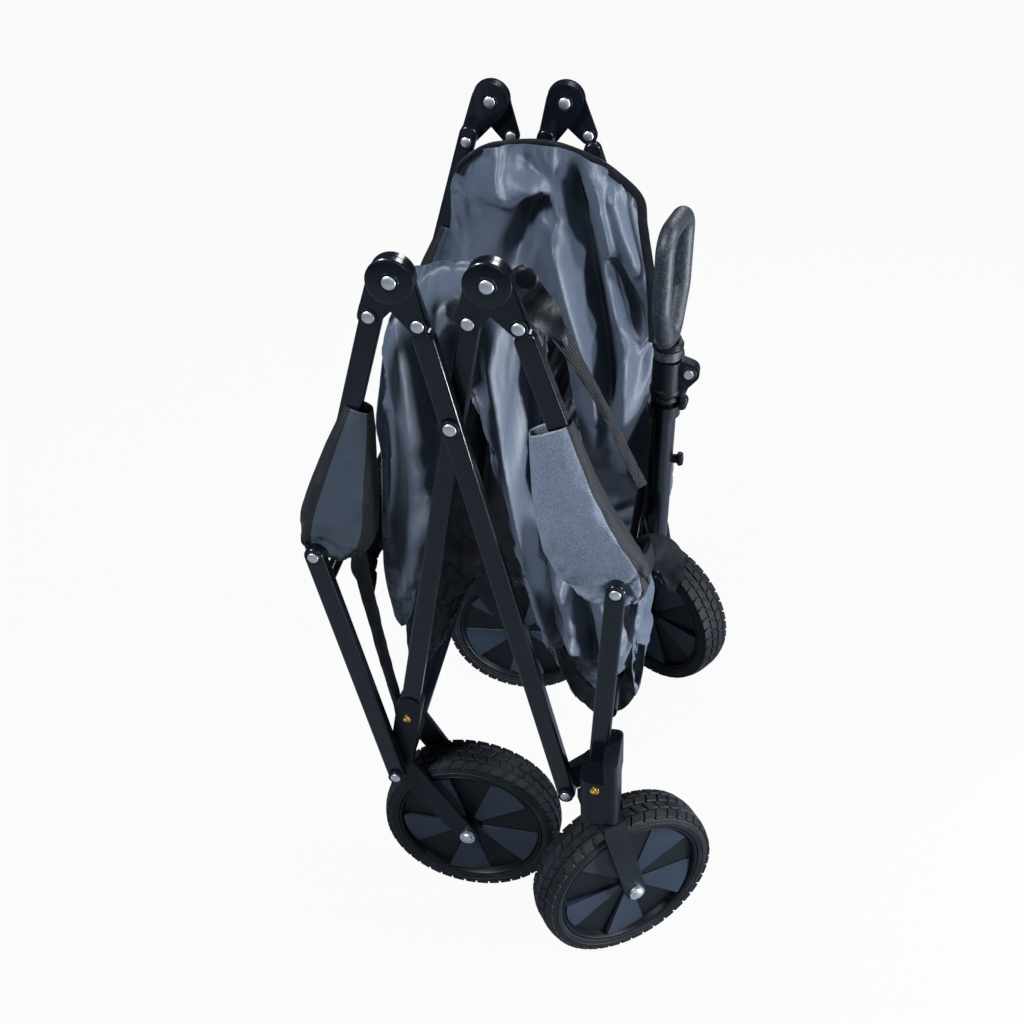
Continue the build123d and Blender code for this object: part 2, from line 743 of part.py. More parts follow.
# The front wall hangs behind the handle's ears on the front crossbar.
front_wall_x = crossbar_x - ear_radius - soft_clearance - end_wall_depth / 2
with BuildPart() as cloth_front:
    with BuildSketch(side_plane(-end_wall_half)):
        with Locations((front_wall_x, end_wall_bottom + 95.0)):
            RectangleRounded(end_wall_depth, 190.0, 6.0)
    extrude(amount=2 * end_wall_half)
cloth_front.part.label = "cloth_front"
export_step(cloth_front.part, "parts/cloth_front.step")

sleeve_low = toward(rear_rail, rail_top, 26.0)
sleeve_high = toward(rear_rail, rail_top, 152.0)
for name, layer, flip in (("sleeve_rear", layer_inner, 1), ("sleeve_front", layer_middle, -1)):
    low = (flip * sleeve_low[0], sleeve_low[1])
    high = (flip * sleeve_high[0], sleeve_high[1])
    with BuildPart() as sleeve:
        with BuildSketch(side_plane(layer - sleeve_clearance - sleeve_wall)):
            with Locations(((low[0] + high[0]) / 2, (low[1] + high[1]) / 2)):
                heading = degrees(atan2(high[1] - low[1], high[0] - low[0]))
                Rectangle(hypot(high[0] - low[0], high[1] - low[1]), 46.0, rotation=heading)
        extrude(amount=bar_depth + 2 * (sleeve_clearance + sleeve_wall))
        fillet(sleeve.faces().filter_by(Axis.Y).edges(), 6.0)
        with BuildSketch(side_plane(layer - sleeve_clearance)):
            ends = (facing(rear_rail), facing(rail_top)) if flip < 0 else (rear_rail, rail_top)
            strip(ends[0], ends[1], bar_width + 2 * sleeve_clearance)
        extrude(amount=bar_depth + 2 * sleeve_clearance, mode=Mode.SUBTRACT)
        mirror(about=Plane.XZ)
    sleeve.part.label = name
    export_step(sleeve.part, f"parts/{name}.step")
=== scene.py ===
"""Looks of a folding pull wagon that stands folded on its four wheels.

X runs from the rear wheels to the handle, +Y is the left side, +Z is up, in metres.
"""
from __future__ import annotations

import json
import logging
import math
from dataclasses import dataclass, field
from enum import Enum
from typing import Callable, Sequence

import bmesh
import bpy
from bmesh.types import BMesh
from bpy.types import Material, NodeSocket, NodeTree, Object
from mathutils import Matrix, Vector, noise


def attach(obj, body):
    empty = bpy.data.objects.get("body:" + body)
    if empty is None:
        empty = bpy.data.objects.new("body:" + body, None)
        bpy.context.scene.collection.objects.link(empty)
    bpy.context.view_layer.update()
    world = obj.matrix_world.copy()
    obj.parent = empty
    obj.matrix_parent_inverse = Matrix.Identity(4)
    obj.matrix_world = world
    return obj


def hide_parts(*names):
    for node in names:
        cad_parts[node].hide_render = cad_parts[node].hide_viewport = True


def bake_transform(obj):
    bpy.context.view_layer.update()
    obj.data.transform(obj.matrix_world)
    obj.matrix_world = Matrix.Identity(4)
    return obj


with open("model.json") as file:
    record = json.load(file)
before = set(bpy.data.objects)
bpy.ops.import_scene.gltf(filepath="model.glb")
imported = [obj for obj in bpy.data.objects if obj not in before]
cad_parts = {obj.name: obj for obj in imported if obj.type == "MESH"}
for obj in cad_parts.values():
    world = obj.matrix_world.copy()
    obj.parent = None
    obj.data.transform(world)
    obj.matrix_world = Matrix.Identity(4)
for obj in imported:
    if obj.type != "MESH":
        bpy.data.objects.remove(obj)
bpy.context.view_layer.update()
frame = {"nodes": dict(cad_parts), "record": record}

log = logging.getLogger("wagon")

Number = float | int
Place = tuple[float, float]
Row = tuple[float, ...]
Colour = tuple[float, float, float, float]

CLOTH_THICK = 0.0008


def srgb(red: int, green: int, blue: int) -> Colour:
    """Linear colour, with full alpha, of display values from 0 to 255."""
    def linear(value: int) -> float:
        """Linear value of one channel."""
        part = value / 255
        return part / 12.92 if part <= 0.04045 else ((part + 0.055) / 1.055) ** 2.4

    return (linear(red), linear(green), linear(blue), 1.0)


def eased(value: float) -> float:
    """A share from 0 to 1 that starts and stops softly."""
    held = min(1.0, max(0.0, value))
    return held * held * (3 - 2 * held)


def mm(*numbers: float) -> Row:
    """Millimetres as metres."""
    return tuple(number / 1000 for number in numbers)


def points(size: int, *numbers: float) -> tuple[Row, ...]:
    """Points in metres from a row of millimetres, so many numbers to a point."""
    row = mm(*numbers)
    return tuple(row[start:start + size] for start in range(0, len(row), size))


# --- shader expressions ---------------------------------------------------------------


class Signal:
    """One output in a node tree; arithmetic on it adds Math nodes."""

    def __init__(self, graph: Graph, socket: NodeSocket) -> None:
        """Wrap a socket of a graph."""
        self.graph = graph
        self.socket = socket

    def __add__(self, other: Signal | Number) -> Signal:
        """Sum."""
        return self.graph.node("ShaderNodeMath", {"operation": "ADD"}, {0: self, 1: other})

    def __mul__(self, other: Signal | Number) -> Signal:
        """Product."""
        return self.graph.node("ShaderNodeMath", {"operation": "MULTIPLY"}, {0: self, 1: other})

    def above(self, limit: float, width: float) -> Signal:
        """Soft step from 0 to 1 about a limit."""
        return self.graph.node(
            "ShaderNodeMapRange",
            {"clamp": True, "interpolation_type": "SMOOTHSTEP"},
            {0: self, 1: limit - width, 2: limit + width, 3: 0.0, 4: 1.0},
        )


class Graph:
    """A node tree that is built by expressions."""

    def __init__(self, tree: NodeTree) -> None:
        """Empty a tree."""
        self.tree = tree
        tree.nodes.clear()

    def node(
        self,
        kind: str,
        settings: dict[str, object] | None = None,
        inputs: dict[int | str, object] | None = None,
        output: int | str = 0,
    ) -> Signal:
        """Add any node.

        Args:
            kind: the node's type.
            settings: its properties, set first.
            inputs: values or signals by socket.
            output: the socket that is handed on.

        Returns:
            The chosen output.
        """
        made = self.tree.nodes.new(kind)
        for key, value in (settings or {}).items():
            setattr(made, key, value)
        for key, value in (inputs or {}).items():
            self.feed(made.inputs[key], value)
        return Signal(self, made.outputs[output])

    def feed(self, socket: NodeSocket, value: object) -> None:
        """Link a signal to a socket, or set its value."""
        if isinstance(value, Signal):
            self.tree.links.new(value.socket, socket)
        else:
            socket.default_value = value

    def whitened(self, own: Signal, glow: str, share: float) -> Signal:
        """Shading that turns white where the camera sees it.

        Args:
            own: the shading for all other rays.
            glow: type of the node that glows white.
            share: how far it turns.

        Returns:
            The mixed shading.
        """
        camera, through = (
            self.node("ShaderNodeLightPath", output=f"Is {ray} Ray")
            for ray in ("Camera", "Transmission")
        )
        white = self.node(glow, None, {0: (1, 1, 1, 1), 1: 1.0})
        return self.node(
            "ShaderNodeMixShader", None, {0: (camera + through) * share, 1: own, 2: white}
        )


class Shader(Graph):
    """A material around a Principled shader."""

    def __init__(self, name: str) -> None:
        """Start a material of this name."""
        self.material: Material = bpy.data.materials.new(name)
        self.material.use_nodes = True
        super().__init__(self.material.node_tree)
        self.surface = self.tree.nodes.new("ShaderNodeBsdfPrincipled")
        self.output = self.tree.nodes.new("ShaderNodeOutputMaterial")
        self.feed(self.output.inputs[0], Signal(self, self.surface.outputs[0]))

    def place(self) -> Signal:
        """Object coordinates."""
        return self.node("ShaderNodeTexCoord", output="Object")

    def stretched(self, scale: tuple[float, float, float], turn: float = 0.0) -> Signal:
        """Object coordinates, scaled and turned about Y."""
        return self.node(
            "ShaderNodeMapping", None, {0: self.place(), 2: (0.0, turn, 0.0), 3: scale}
        )

    def speckle(self, scale: float, detail: float = 2.0, vector: Signal | None = None) -> Signal:
        """Noise value about 0.5."""
        return self.node(
            "ShaderNodeTexNoise",
            None,
            {"Vector": vector or self.place(), "Scale": scale, "Detail": detail},
        )

    def mixed(self, share: Signal | float, low: object, high: object) -> Signal:
        """Colour between two colours."""
        return self.node(
            "ShaderNodeMix", {"data_type": "RGBA"}, {0: share, 6: low, 7: high}, output=2
        )

    def raised(self, height: Signal, distance: float) -> Signal:
        """Normal bent by a height."""
        return self.node(
            "ShaderNodeBump",
            None,
            {"Height": height, "Distance": distance, "Strength": 1.0},
            output="Normal",
        )

    def dress(self, **inputs: object) -> Material:
        """Fill the Principled shader's sockets, named with underscores, and return the material."""
        for key, value in inputs.items():
            self.feed(self.surface.inputs[key.replace("_", " ")], value)
        return self.material


# --- finishes ------------------------------------------------------------------------------


@dataclass(frozen=True)
class Look:
    """A material's name, its colour and its second colour."""

    name: str
    colour: Colour
    second: Colour


@dataclass(frozen=True)
class BarPaint(Look):
    """Satin blue-black paint on the steel bars."""

    roughness: float = 0.30

    def make(self) -> Material:
        """The paint with faint scuffs and orange peel."""
        shader = Shader(self.name)
        cloud = shader.speckle(22.0, 3.0)
        scuffs = shader.speckle(60.0, 6.0, shader.stretched((1.0, 1.0, 0.12))).above(0.66, 0.06)
        wear = cloud.above(0.55, 0.2) * 0.5 + scuffs * 0.4
        peel = shader.speckle(900.0, 1.0) + scuffs * 0.4
        return shader.dress(
            Base_Color=shader.mixed(wear, self.colour, self.second),
            Roughness=cloud * 0.16 + scuffs * 0.16 + (self.roughness - 0.08),
            Normal=shader.raised(peel, 0.00006),
            Specular_IOR_Level=0.15,
            Coat_Weight=0.4,
            Coat_Roughness=0.08,
        )


@dataclass(frozen=True)
class Moulding(Look):
    """Moulded plastic with a fine spark-eroded grain."""

    roughness: float = 0.42

    def make(self) -> Material:
        """The plastic."""
        shader = Shader(self.name)
        cloud = shader.speckle(16.0, 4.0)
        return shader.dress(
            Base_Color=shader.mixed(cloud.above(0.55, 0.25) * 0.6, self.colour, self.second),
            Roughness=cloud * 0.2 + (self.roughness - 0.1),
            Normal=shader.raised(shader.speckle(1500.0, 2.0), 0.00012),
            Specular_IOR_Level=0.18,
        )


@dataclass(frozen=True)
class TyreRubber(Look):
    """Black rubber and the dust on it."""

    def make(self) -> Material:
        """The rubber."""
        shader = Shader(self.name)
        patch = shader.speckle(30.0, 5.0)
        pore = shader.speckle(600.0, 3.0)
        dusty = patch.above(0.58, 0.12) * pore.above(0.45, 0.2)
        return shader.dress(
            Base_Color=shader.mixed(dusty * 0.55, self.colour, self.second),
            Roughness=patch * 0.25 + 0.5,
            Normal=shader.raised(pore + patch * 2.0, 0.00018),
            Specular_IOR_Level=0.25,
        )


@dataclass(frozen=True)
class Cloth(Look):
    """Coated polyester cloth, in a colour, its shade in the creases and its pale threads."""

    pale: Colour
    grain: float = 1.0
    sheen: float = 0.06
    shine: float = 0.5

    def make(self) -> Material:
        """Weave grain, soft wear and small creases."""
        shader = Shader(self.name)
        cloud = shader.speckle(9.0, 3.0)
        thread = shader.speckle(1300.0, 1.0)
        across = shader.speckle(420.0, 1.0, shader.stretched((1.0, 1.0, 0.25)))
        crease = shader.speckle(30.0, 5.0, shader.stretched((1.0, 1.0, 0.55), 0.35))
        tone = shader.mixed(cloud.above(0.5, 0.25), self.colour, self.second)
        flecks = thread.above(0.56, 0.1) * (0.32 * self.grain)
        relief = crease * 2.0 + thread * (0.16 * self.grain) + across * (0.10 * self.grain)
        return shader.dress(
            Base_Color=shader.mixed(flecks, tone, self.pale),
            Roughness=thread * 0.16 + cloud * 0.12 + 0.34,
            Normal=shader.raised(relief, 0.0012),
            Sheen_Weight=self.sheen,
            Sheen_Roughness=0.4,
            Specular_IOR_Level=self.shine,
        )


@dataclass(frozen=True)
class Webbing(Look):
    """Black woven tape with ribs across it."""

    def make(self) -> Material:
        """The tape."""
        shader = Shader(self.name)
        rib = shader.node(
            "ShaderNodeTexWave",
            {"wave_type": "BANDS", "bands_direction": "DIAGONAL"},
            {"Vector": shader.place(), "Scale": 190.0, "Distortion": 1.5, "Detail": 1.0},
            output="Fac",
        )
        fuzz = shader.speckle(700.0, 2.0)
        return shader.dress(
            Base_Color=shader.mixed(rib * fuzz * 0.5, self.colour, self.second),
            Roughness=fuzz * 0.2 + 0.55,
            Normal=shader.raised(rib + fuzz * 0.4, 0.00025),
            Sheen_Weight=0.03,
            Specular_IOR_Level=0.3,
        )


@dataclass(frozen=True)
class GripFoam(Look):
    """Firm foam with open cells."""

    def make(self) -> Material:
        """The foam."""
        shader = Shader(self.name)
        cell = shader.speckle(420.0, 3.0)
        patch = shader.speckle(26.0, 3.0)
        return shader.dress(
            Base_Color=shader.mixed(cell.above(0.55, 0.08) * patch, self.colour, self.second),
            Roughness=cell * 0.2 + 0.42,
            Normal=shader.raised(cell + patch * 1.5, 0.0003),
            Specular_IOR_Level=0.5,
        )


@dataclass(frozen=True)
class BareMetal:
    """Bare metal of rivets and axles."""

    name: str
    colour: Colour
    roughness: float

    def make(self) -> Material:
        """Fine turning marks and faint tarnish."""
        shader = Shader(self.name)
        tarnish = shader.speckle(300.0, 4.0)
        shade = tuple(0.7 * part for part in self.colour[:3]) + (1.0,)
        return shader.dress(
            Base_Color=shader.mixed(tarnish.above(0.6, 0.15) * 0.6, self.colour, shade),
            Metallic=1.0,
            Roughness=tarnish * 0.16 + (self.roughness - 0.06),
            Normal=shader.raised(tarnish, 0.00004),
        )


class Finish(Enum):
    """The finishes of this wagon, with the record's slot that each belongs to."""

    PAINT = BarPaint("bar_paint", srgb(6, 10, 17), srgb(14, 20, 31)), "bar_paint"
    MOULDING = Moulding("black_plastic", srgb(10, 14, 20), srgb(20, 26, 35)), "black_plastic"
    PAN = Moulding("wheel_pan", srgb(6, 9, 14), srgb(12, 17, 24)), "wheel_plastic"
    BLADE = Moulding("wheel_blade", srgb(34, 42, 54), srgb(46, 55, 69), 0.34), "wheel_plastic"
    RUBBER = TyreRubber("tyre_rubber", srgb(9, 13, 19), srgb(38, 45, 55)), "tyre_rubber"
    SLATE = Cloth("slate_cloth", srgb(68, 78, 94), srgb(55, 64, 79), srgb(94, 105, 121)), "cloth"
    # Painted shade: a darker copy of the slate cloth, worn by the rear sleeves.
    POCKET = Cloth("pocket_cloth", srgb(50, 59, 72), srgb(38, 46, 58), srgb(70, 80, 94)), "cloth"
    # Painted light: a lighter copy of the slate cloth, with its paler thread flecks, worn by the
    # front sleeves.
    SLEEVE = (
        Cloth("sleeve_cloth", srgb(90, 100, 116), srgb(76, 86, 102), srgb(142, 152, 168),
              1.6, 0.15),
        "cloth",
    )
    LINING = (
        Cloth("lining", srgb(11, 15, 21), srgb(6, 9, 14), srgb(25, 31, 40), 1.0, 0.0, 0.3), "cloth"
    )
    WEBBING = Webbing("webbing", srgb(9, 13, 19), srgb(22, 28, 37)), "cloth"
    FOAM = GripFoam("grip_foam", srgb(24, 30, 39), srgb(58, 67, 79)), "grip_rubber"
    STEEL = BareMetal("axle_steel", srgb(206, 209, 213), 0.40), "axle_steel"
    BRASS = BareMetal("brass", srgb(226, 186, 96), 0.24), "axle_steel"

    @property
    def material(self) -> Material:
        """The finish's material, made once."""
        if self.name not in _made:
            _made[self.name] = self.value[0].make()
        return _made[self.name]

    @property
    def slot(self) -> str:
        """The record's material slot."""
        return self.value[1]


_made: dict[str, Material] = {}


# --- places ----------------------------------------------------------------------------------


@dataclass
class Linkage:
    """Pivots of the side frames at rest and the layers of their bars along Y."""

    joints: dict[str, dict]
    upper_arm: float = 0.134
    hub_offset: float = 0.0108
    leg: float = 0.040
    tongue: float = 0.1962
    cheek: float = 0.2040
    layer_inner: float = 0.173
    layer_middle: float = 0.190
    layer_outer: float = 0.207
    bar_depth: float = 0.012

    def __post_init__(self) -> None:
        """Find the pivots and the upper hubs."""
        self.rear_corner = self.pivot("fold")
        self.front_corner = self.pivot("front_corner")
        self.crossing = self.pivot("diagonal_cross")
        self.rear_rail = self.pivot("rear_rail_turn")
        self.front_rail = self.pivot("front_rail_turn")
        along = (self.crossing - self.front_corner).normalized()
        across = Vector((-along.z, 0.0, along.x))
        hub = self.crossing + along * self.upper_arm + across * self.hub_offset
        self.rear_hub = hub
        self.front_hub = Vector((2 * self.crossing.x - hub.x, 0.0, hub.z))

    def pivot(self, joint: str) -> Vector:
        """A joint's place."""
        return Vector(self.joints[joint]["pos_m"])

    def axis(self, joint: str) -> Vector:
        """A joint's direction."""
        return Vector(self.joints[joint]["axis"]).normalized()

    def leg_rivet(self, hub: Vector, foot: Vector, side: float) -> Vector:
        """Rivet of a knuckle's leg, on the centre line of its bar.

        Args:
            hub: the knuckle's pivot.
            foot: the pivot at the bar's far end.
            side: which way along X the centre line passes the hub.

        Returns:
            The rivet's place in X and Z.
        """
        reach = (hub - foot).length
        turn = math.asin(self.hub_offset / reach) * side
        along = Matrix.Rotation(turn, 3, "Y") @ (hub - foot).normalized()
        return foot + along * (math.sqrt(reach**2 - self.hub_offset**2) - self.leg)


# --- meshes -----------------------------------------------------------------------------------


class Shape:
    """A mesh in the making."""

    def __init__(self) -> None:
        """Start empty."""
        self.bm: BMesh = bmesh.new()

    def join(self, other: BMesh, place: Matrix | None = None, slot: int | None = 0) -> None:
        """Add another mesh at a place and free it.

        Args:
            other: the mesh to add.
            place: where it goes.
            slot: the material slot of its faces, or None to keep their own.
        """
        if place is not None:
            bmesh.ops.transform(other, matrix=place, verts=other.verts)
            if place.determinant() < 0:
                bmesh.ops.reverse_faces(other, faces=other.faces)
        if slot is not None:
            for face in other.faces:
                face.material_index = slot
        step = bpy.data.meshes.new("step")
        other.to_mesh(step)
        other.free()
        self.bm.from_mesh(step)
        bpy.data.meshes.remove(step)

    def finish(self, name: str, finishes: Sequence[Finish], crisp: float = 180.0) -> Object:
        """Close the mesh into an object at the origin.

        Args:
            name: the piece's name.
            finishes: the finishes of its material slots.
            crisp: edges sharper than this many degrees stay sharp.

        Returns:
            The object.
        """
        mesh = bpy.data.meshes.new(name)
        self.bm.to_mesh(mesh)
        self.bm.free()
        for finish in finishes:
            mesh.materials.append(finish.material)
        mesh.polygons.foreach_set("use_smooth", [True] * len(mesh.polygons))
        if crisp < 180:
            mesh.set_sharp_from_angle(angle=math.radians(crisp))
        piece = linked(name, mesh)
        finishes[0].slot
        return piece


def linked(name: str, data: bpy.types.ID) -> Object:
    """A new object of some data, in the scene."""
    made = bpy.data.objects.new(name, data)
    bpy.context.scene.collection.objects.link(made)
    return made


def turned(profile: Sequence[Place], steps: int, closed: bool = False) -> BMesh:
    """A profile turned about Z.

    Args:
        profile: points as radius and height.
        steps: divisions of the turn.
        closed: whether the last point joins the first.

    Returns:
        The turned mesh with its normals outward.
    """
    bm = bmesh.new()
    verts = [bm.verts.new((radius, 0.0, height)) for radius, height in profile]
    edges = [bm.edges.new(pair) for pair in zip(verts, verts[1:])]
    if closed:
        edges.append(bm.edges.new((verts[-1], verts[0])))
    bmesh.ops.spin(bm, geom=verts + edges, cent=(0, 0, 0), axis=(0, 0, 1), angle=2 * math.pi,
                   steps=steps, use_merge=True)
    bmesh.ops.remove_doubles(bm, verts=bm.verts, dist=1e-6)
    bmesh.ops.recalc_face_normals(bm, faces=bm.faces)
    return bm


def bevelled(bm: BMesh, edges: Sequence[bmesh.types.BMEdge], offset: float, segments: int) -> None:
    """Round edges of a mesh."""
    bmesh.ops.bevel(bm, geom=edges, offset=offset, segments=segments, profile=0.5,
                    affect="EDGES", material=-1)


def block(size: Vector, rounding: float) -> BMesh:
    """A box about the origin with bevelled edges."""
    bm = bmesh.new()
    bmesh.ops.create_cube(bm, size=1.0)
    bmesh.ops.scale(bm, vec=size, verts=bm.verts)
    bevelled(bm, bm.edges, rounding, 1)
    return bm


def cut(bm: BMesh, place: Vector, away: Vector) -> None:
    """Cut off what lies on one side of a plane."""
    bmesh.ops.bisect_plane(bm, geom=bm.verts[:] + bm.edges[:] + bm.faces[:], plane_co=place,
                           plane_no=away, clear_outer=True)


def facing(origin: Vector, outward: Vector, forward: Vector = Vector((1, 0, 0))) -> Matrix:
    """Matrix of a place whose Z points outward.

    Args:
        origin: the place.
        outward: the direction of its Z.
        forward: rough direction of its X.

    Returns:
        The matrix.
    """
    z = outward.normalized()
    y = z.cross(forward).normalized()
    turn = Matrix((y.cross(z), y, z)).transposed().to_4x4()
    return Matrix.Translation(origin) @ turn


def both_sides(place: Vector, out: float) -> list[Matrix]:
    """A place on the right and on the left, facing out, or in if its distance is negative."""
    way = math.copysign(1, out)
    return [
        facing(Vector((place.x, side * abs(out), place.z)), Vector((0, way * side, 0)))
        for side in (-1, 1)
    ]


def turnings(
    name: str,
    body: str,
    profile: Sequence[Place],
    steps: int,
    stands: Sequence[Matrix],
    finish: Finish,
    crisp: float = 40.0,
) -> Object:
    """A piece of equal turned shapes at several places, riding on a body."""
    shape = Shape()
    for stand in stands:
        shape.join(turned(profile, steps), stand)
    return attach(shape.finish(name, (finish,), crisp), body)


@dataclass(frozen=True)
class Track:
    """A smooth line through given points."""

    points: Sequence[Row]

    def spots(self, count: int) -> list[Vector]:
        """Evenly spaced points along the line, both ends included."""
        given = [Vector(point) for point in self.points]
        padded = [2 * given[0] - given[1]] + given + [2 * given[-1] - given[-2]]
        fine: list[Vector] = []
        for index in range(1, len(padded) - 2):
            a, b, c, d = padded[index - 1:index + 3]
            for part in range(16):
                t = part / 16
                fine.append(
                    0.5 * (2 * b + (c - a) * t + (2 * a - 5 * b + 4 * c - d) * t * t
                           + (3 * b - a - 3 * c + d) * t * t * t)
                )
        fine.append(given[-1])
        reach = [0.0]
        for first, second in zip(fine, fine[1:]):
            reach.append(reach[-1] + (second - first).length)
        spots, index = [], 0
        for step in range(count):
            goal = reach[-1] * step / (count - 1)
            while index < len(reach) - 2 and reach[index + 1] < goal:
                index += 1
            span = max(reach[index + 1] - reach[index], 1e-9)
            share = min(1.0, (goal - reach[index]) / span)
            spots.append(fine[index].lerp(fine[index + 1], share))
        return spots


@dataclass(frozen=True)
class Fold:
    """A ridge along a line in X and Z, or with a negative height a valley."""

    height: float
    left: float
    right: float
    line: Sequence[Place]

    def lift(self, x: float, z: float) -> float:
        """How far the fold lifts the cloth at a place.

        Args:
            x, z: the place.

        Returns:
            The lift, which fades with the distance and towards the line's ends.
        """
        near, side, along = 9.0, 1.0, 0.0
        count = len(self.line) - 1
        for index in range(count):
            ax, az = self.line[index]
            bx, bz = self.line[index + 1]
            dx, dz = bx - ax, bz - az
            share = ((x - ax) * dx + (z - az) * dz) / (dx * dx + dz * dz)
            share = min(1.0, max(0.0, share))
            px, pz = x - ax - share * dx, z - az - share * dz
            far = math.hypot(px, pz)
            if far < near:
                near, along = far, (index + share) / count
                side = dx * pz - dz * px
        width = self.left if side > 0 else self.right
        taper = eased(along / 0.22) * eased((1 - along) / 0.22)
        return self.height * (0.15 + 0.85 * taper) * math.exp(-((near / width) ** 2))


def rumple(place: Vector, size: float, height: float) -> float:
    """Smooth uneven height of cloth at a place.

    Args:
        place: where, in metres.
        size: width of the bumps.
        height: their height.

    Returns:
        The height there.
    """
    spot = place / size
    fine = 0.45 * noise.noise(spot * 2.1)
    return height * (noise.noise(spot) + fine + 0.2 * noise.noise(spot * 4.3))


def woven(
    columns: int,
    rows: int,
    surface: Callable[[int, int], Vector],
    band: Callable[[float], int] | None = None,
) -> BMesh:
    """A grid of cloth.

    Args:
        columns, rows: its divisions.
        surface: the place of each corner by column and row, row 0 on top.
        band: material slot at a share of the way across, if it has several.

    Returns:
        The grid.
    """
    bm = bmesh.new()
    bmesh.ops.create_grid(bm, x_segments=columns, y_segments=rows, size=0.5)
    if band is not None:
        for face in bm.faces:
            face.material_index = band(face.calc_center_median().x + 0.5)
    for vert in bm.verts:
        vert.co = surface(round((vert.co.x + 0.5) * columns), round((0.5 - vert.co.y) * rows))
    return bm


def walled(bm: BMesh, thickness: float) -> BMesh:
    """Give a cloth grid its thickness, the same everywhere."""
    bm.normal_update()
    layer = bm.verts.layers.float_vector.new("inward")
    for vert in bm.verts:
        vert[layer] = -vert.normal * thickness
    grown = bmesh.ops.extrude_face_region(bm, geom=bm.faces[:], use_keep_orig=True)
    for item in grown["geom"]:
        if isinstance(item, bmesh.types.BMVert):
            item.co += item[layer]
    bm.verts.layers.float_vector.remove(layer)
    bmesh.ops.recalc_face_normals(bm, faces=bm.faces)
    return bm


@dataclass
class Relaxing:
    """A short cloth simulation of a held sheet that is cut a little too large."""

    limit: float
    firm: float
    frames: int
    spare: float = 0.05
    bending: float = 0.4
    gravity: float = 0.35

    def settle(self, bm: BMesh) -> None:
        """Let a sheet crumple between its borders, moving its corners up to the limit."""

        def spot(vert: object) -> Row:
            """A corner's place, rounded."""
            return tuple(round(c, 5) for c in vert.co)

        edge = {spot(vert) for vert in bm.verts if vert.is_boundary}
        scene = bpy.context.scene
        mesh = bpy.data.meshes.new("settling")
        bm.to_mesh(mesh)
        piece = linked("settling", mesh)
        group = piece.vertex_groups.new(name="held")
        for vert in mesh.vertices:
            group.add([vert.index], 1.0 if spot(vert) in edge else self.firm, "REPLACE")
        cloth = piece.modifiers.new("cloth", "CLOTH")
        settings = {
            "quality": 5, "mass": 0.15, "tension_stiffness": 12, "compression_stiffness": 12,
            "shear_stiffness": 4, "bending_stiffness": self.bending, "vertex_group_mass": "held",
            "pin_stiffness": 1.0, "shrink_min": -self.spare,
        }
        for key, value in settings.items():
            setattr(cloth.settings, key, value)
        cloth.settings.effector_weights.gravity = self.gravity
        cloth.collision_settings.use_collision = False
        cloth.point_cache.frame_start = 1
        cloth.point_cache.frame_end = self.frames
        for step in range(1, self.frames + 1):
            scene.frame_set(step)
        settled = piece.evaluated_get(bpy.context.evaluated_depsgraph_get())
        places = [vert.co.copy() for vert in settled.data.vertices]
        bm.verts.ensure_lookup_table()
        for vert, place in zip(bm.verts, places):
            move = place - vert.co
            if move.length > self.limit:
                move *= self.limit / move.length
            vert.co += move
        scene.frame_set(1)
        bpy.data.objects.remove(piece)
        bpy.data.meshes.remove(mesh)


@dataclass
class Spread:
    """Where cloth that crosses the fold is cut into its rear half and its front half."""

    middle: float = -0.045
    rear: Place = (-0.160, -0.080)
    front: Place = (0.020, 0.120)

    def halves(self, name: str, bm: BMesh, finish: Finish, thick: float) -> list[Object]:
        """Cut a sheet at the middle and thicken each half.

        Args:
            name: the sheet's name.
            bm: the whole sheet as a single layer, freed here.
            finish: its finish.
            thick: its thickness.

        Returns:
            The halves that have any cloth.
        """
        bm.normal_update()
        layer = bm.verts.layers.float_vector.new("soft_normal")
        for vert in bm.verts:
            vert[layer] = vert.normal
        made = []
        for tag, sign, bodies, (start, end) in (
            ("rear", 1, ("rear_frame", "cloth_middle"), self.rear),
            ("front", -1, ("cloth_middle", "cloth_ahead"), self.front),
        ):
            half = bm.copy()
            cut(half, Vector((self.middle, 0, 0)), Vector((sign, 0, 0)))
            if not half.faces:
                half.free()
                continue
            shape = Shape()
            shape.join(walled(half, thick))
            piece = shape.finish(f"{name}_{tag}", (finish,))
            self.soften(piece)
            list(bodies)
            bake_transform(piece)
            made.append(piece)
        bm.free()
        return made

    def soften(self, piece: Object) -> None:
        """Keep the whole sheet's shading over the cut, except on the rims."""
        mesh = piece.data
        soft = [Vector(entry.vector) for entry in mesh.attributes["soft_normal"].data]
        normals = []
        for face in mesh.polygons:
            for corner in face.vertices:
                lean = face.normal.dot(soft[corner])
                flat = abs(lean) < 0.4
                normals.append(face.normal if flat else soft[corner] * math.copysign(1, lean))
        mesh.normals_split_custom_set(normals)
        mesh.attributes.remove(mesh.attributes["soft_normal"])


def declared(piece: Object, length: float) -> Object:
    """Work out a sheet's width from its area and its known length; the result is not kept.

    Args:
        piece: the sheet, with its thickness.
        length: its length in metres.

    Returns:
        The piece.
    """
    area = sum(face.area for face in piece.data.polygons) / 2
    area / length
    return piece


# --- frame ------------------------------------------------------------------------------------


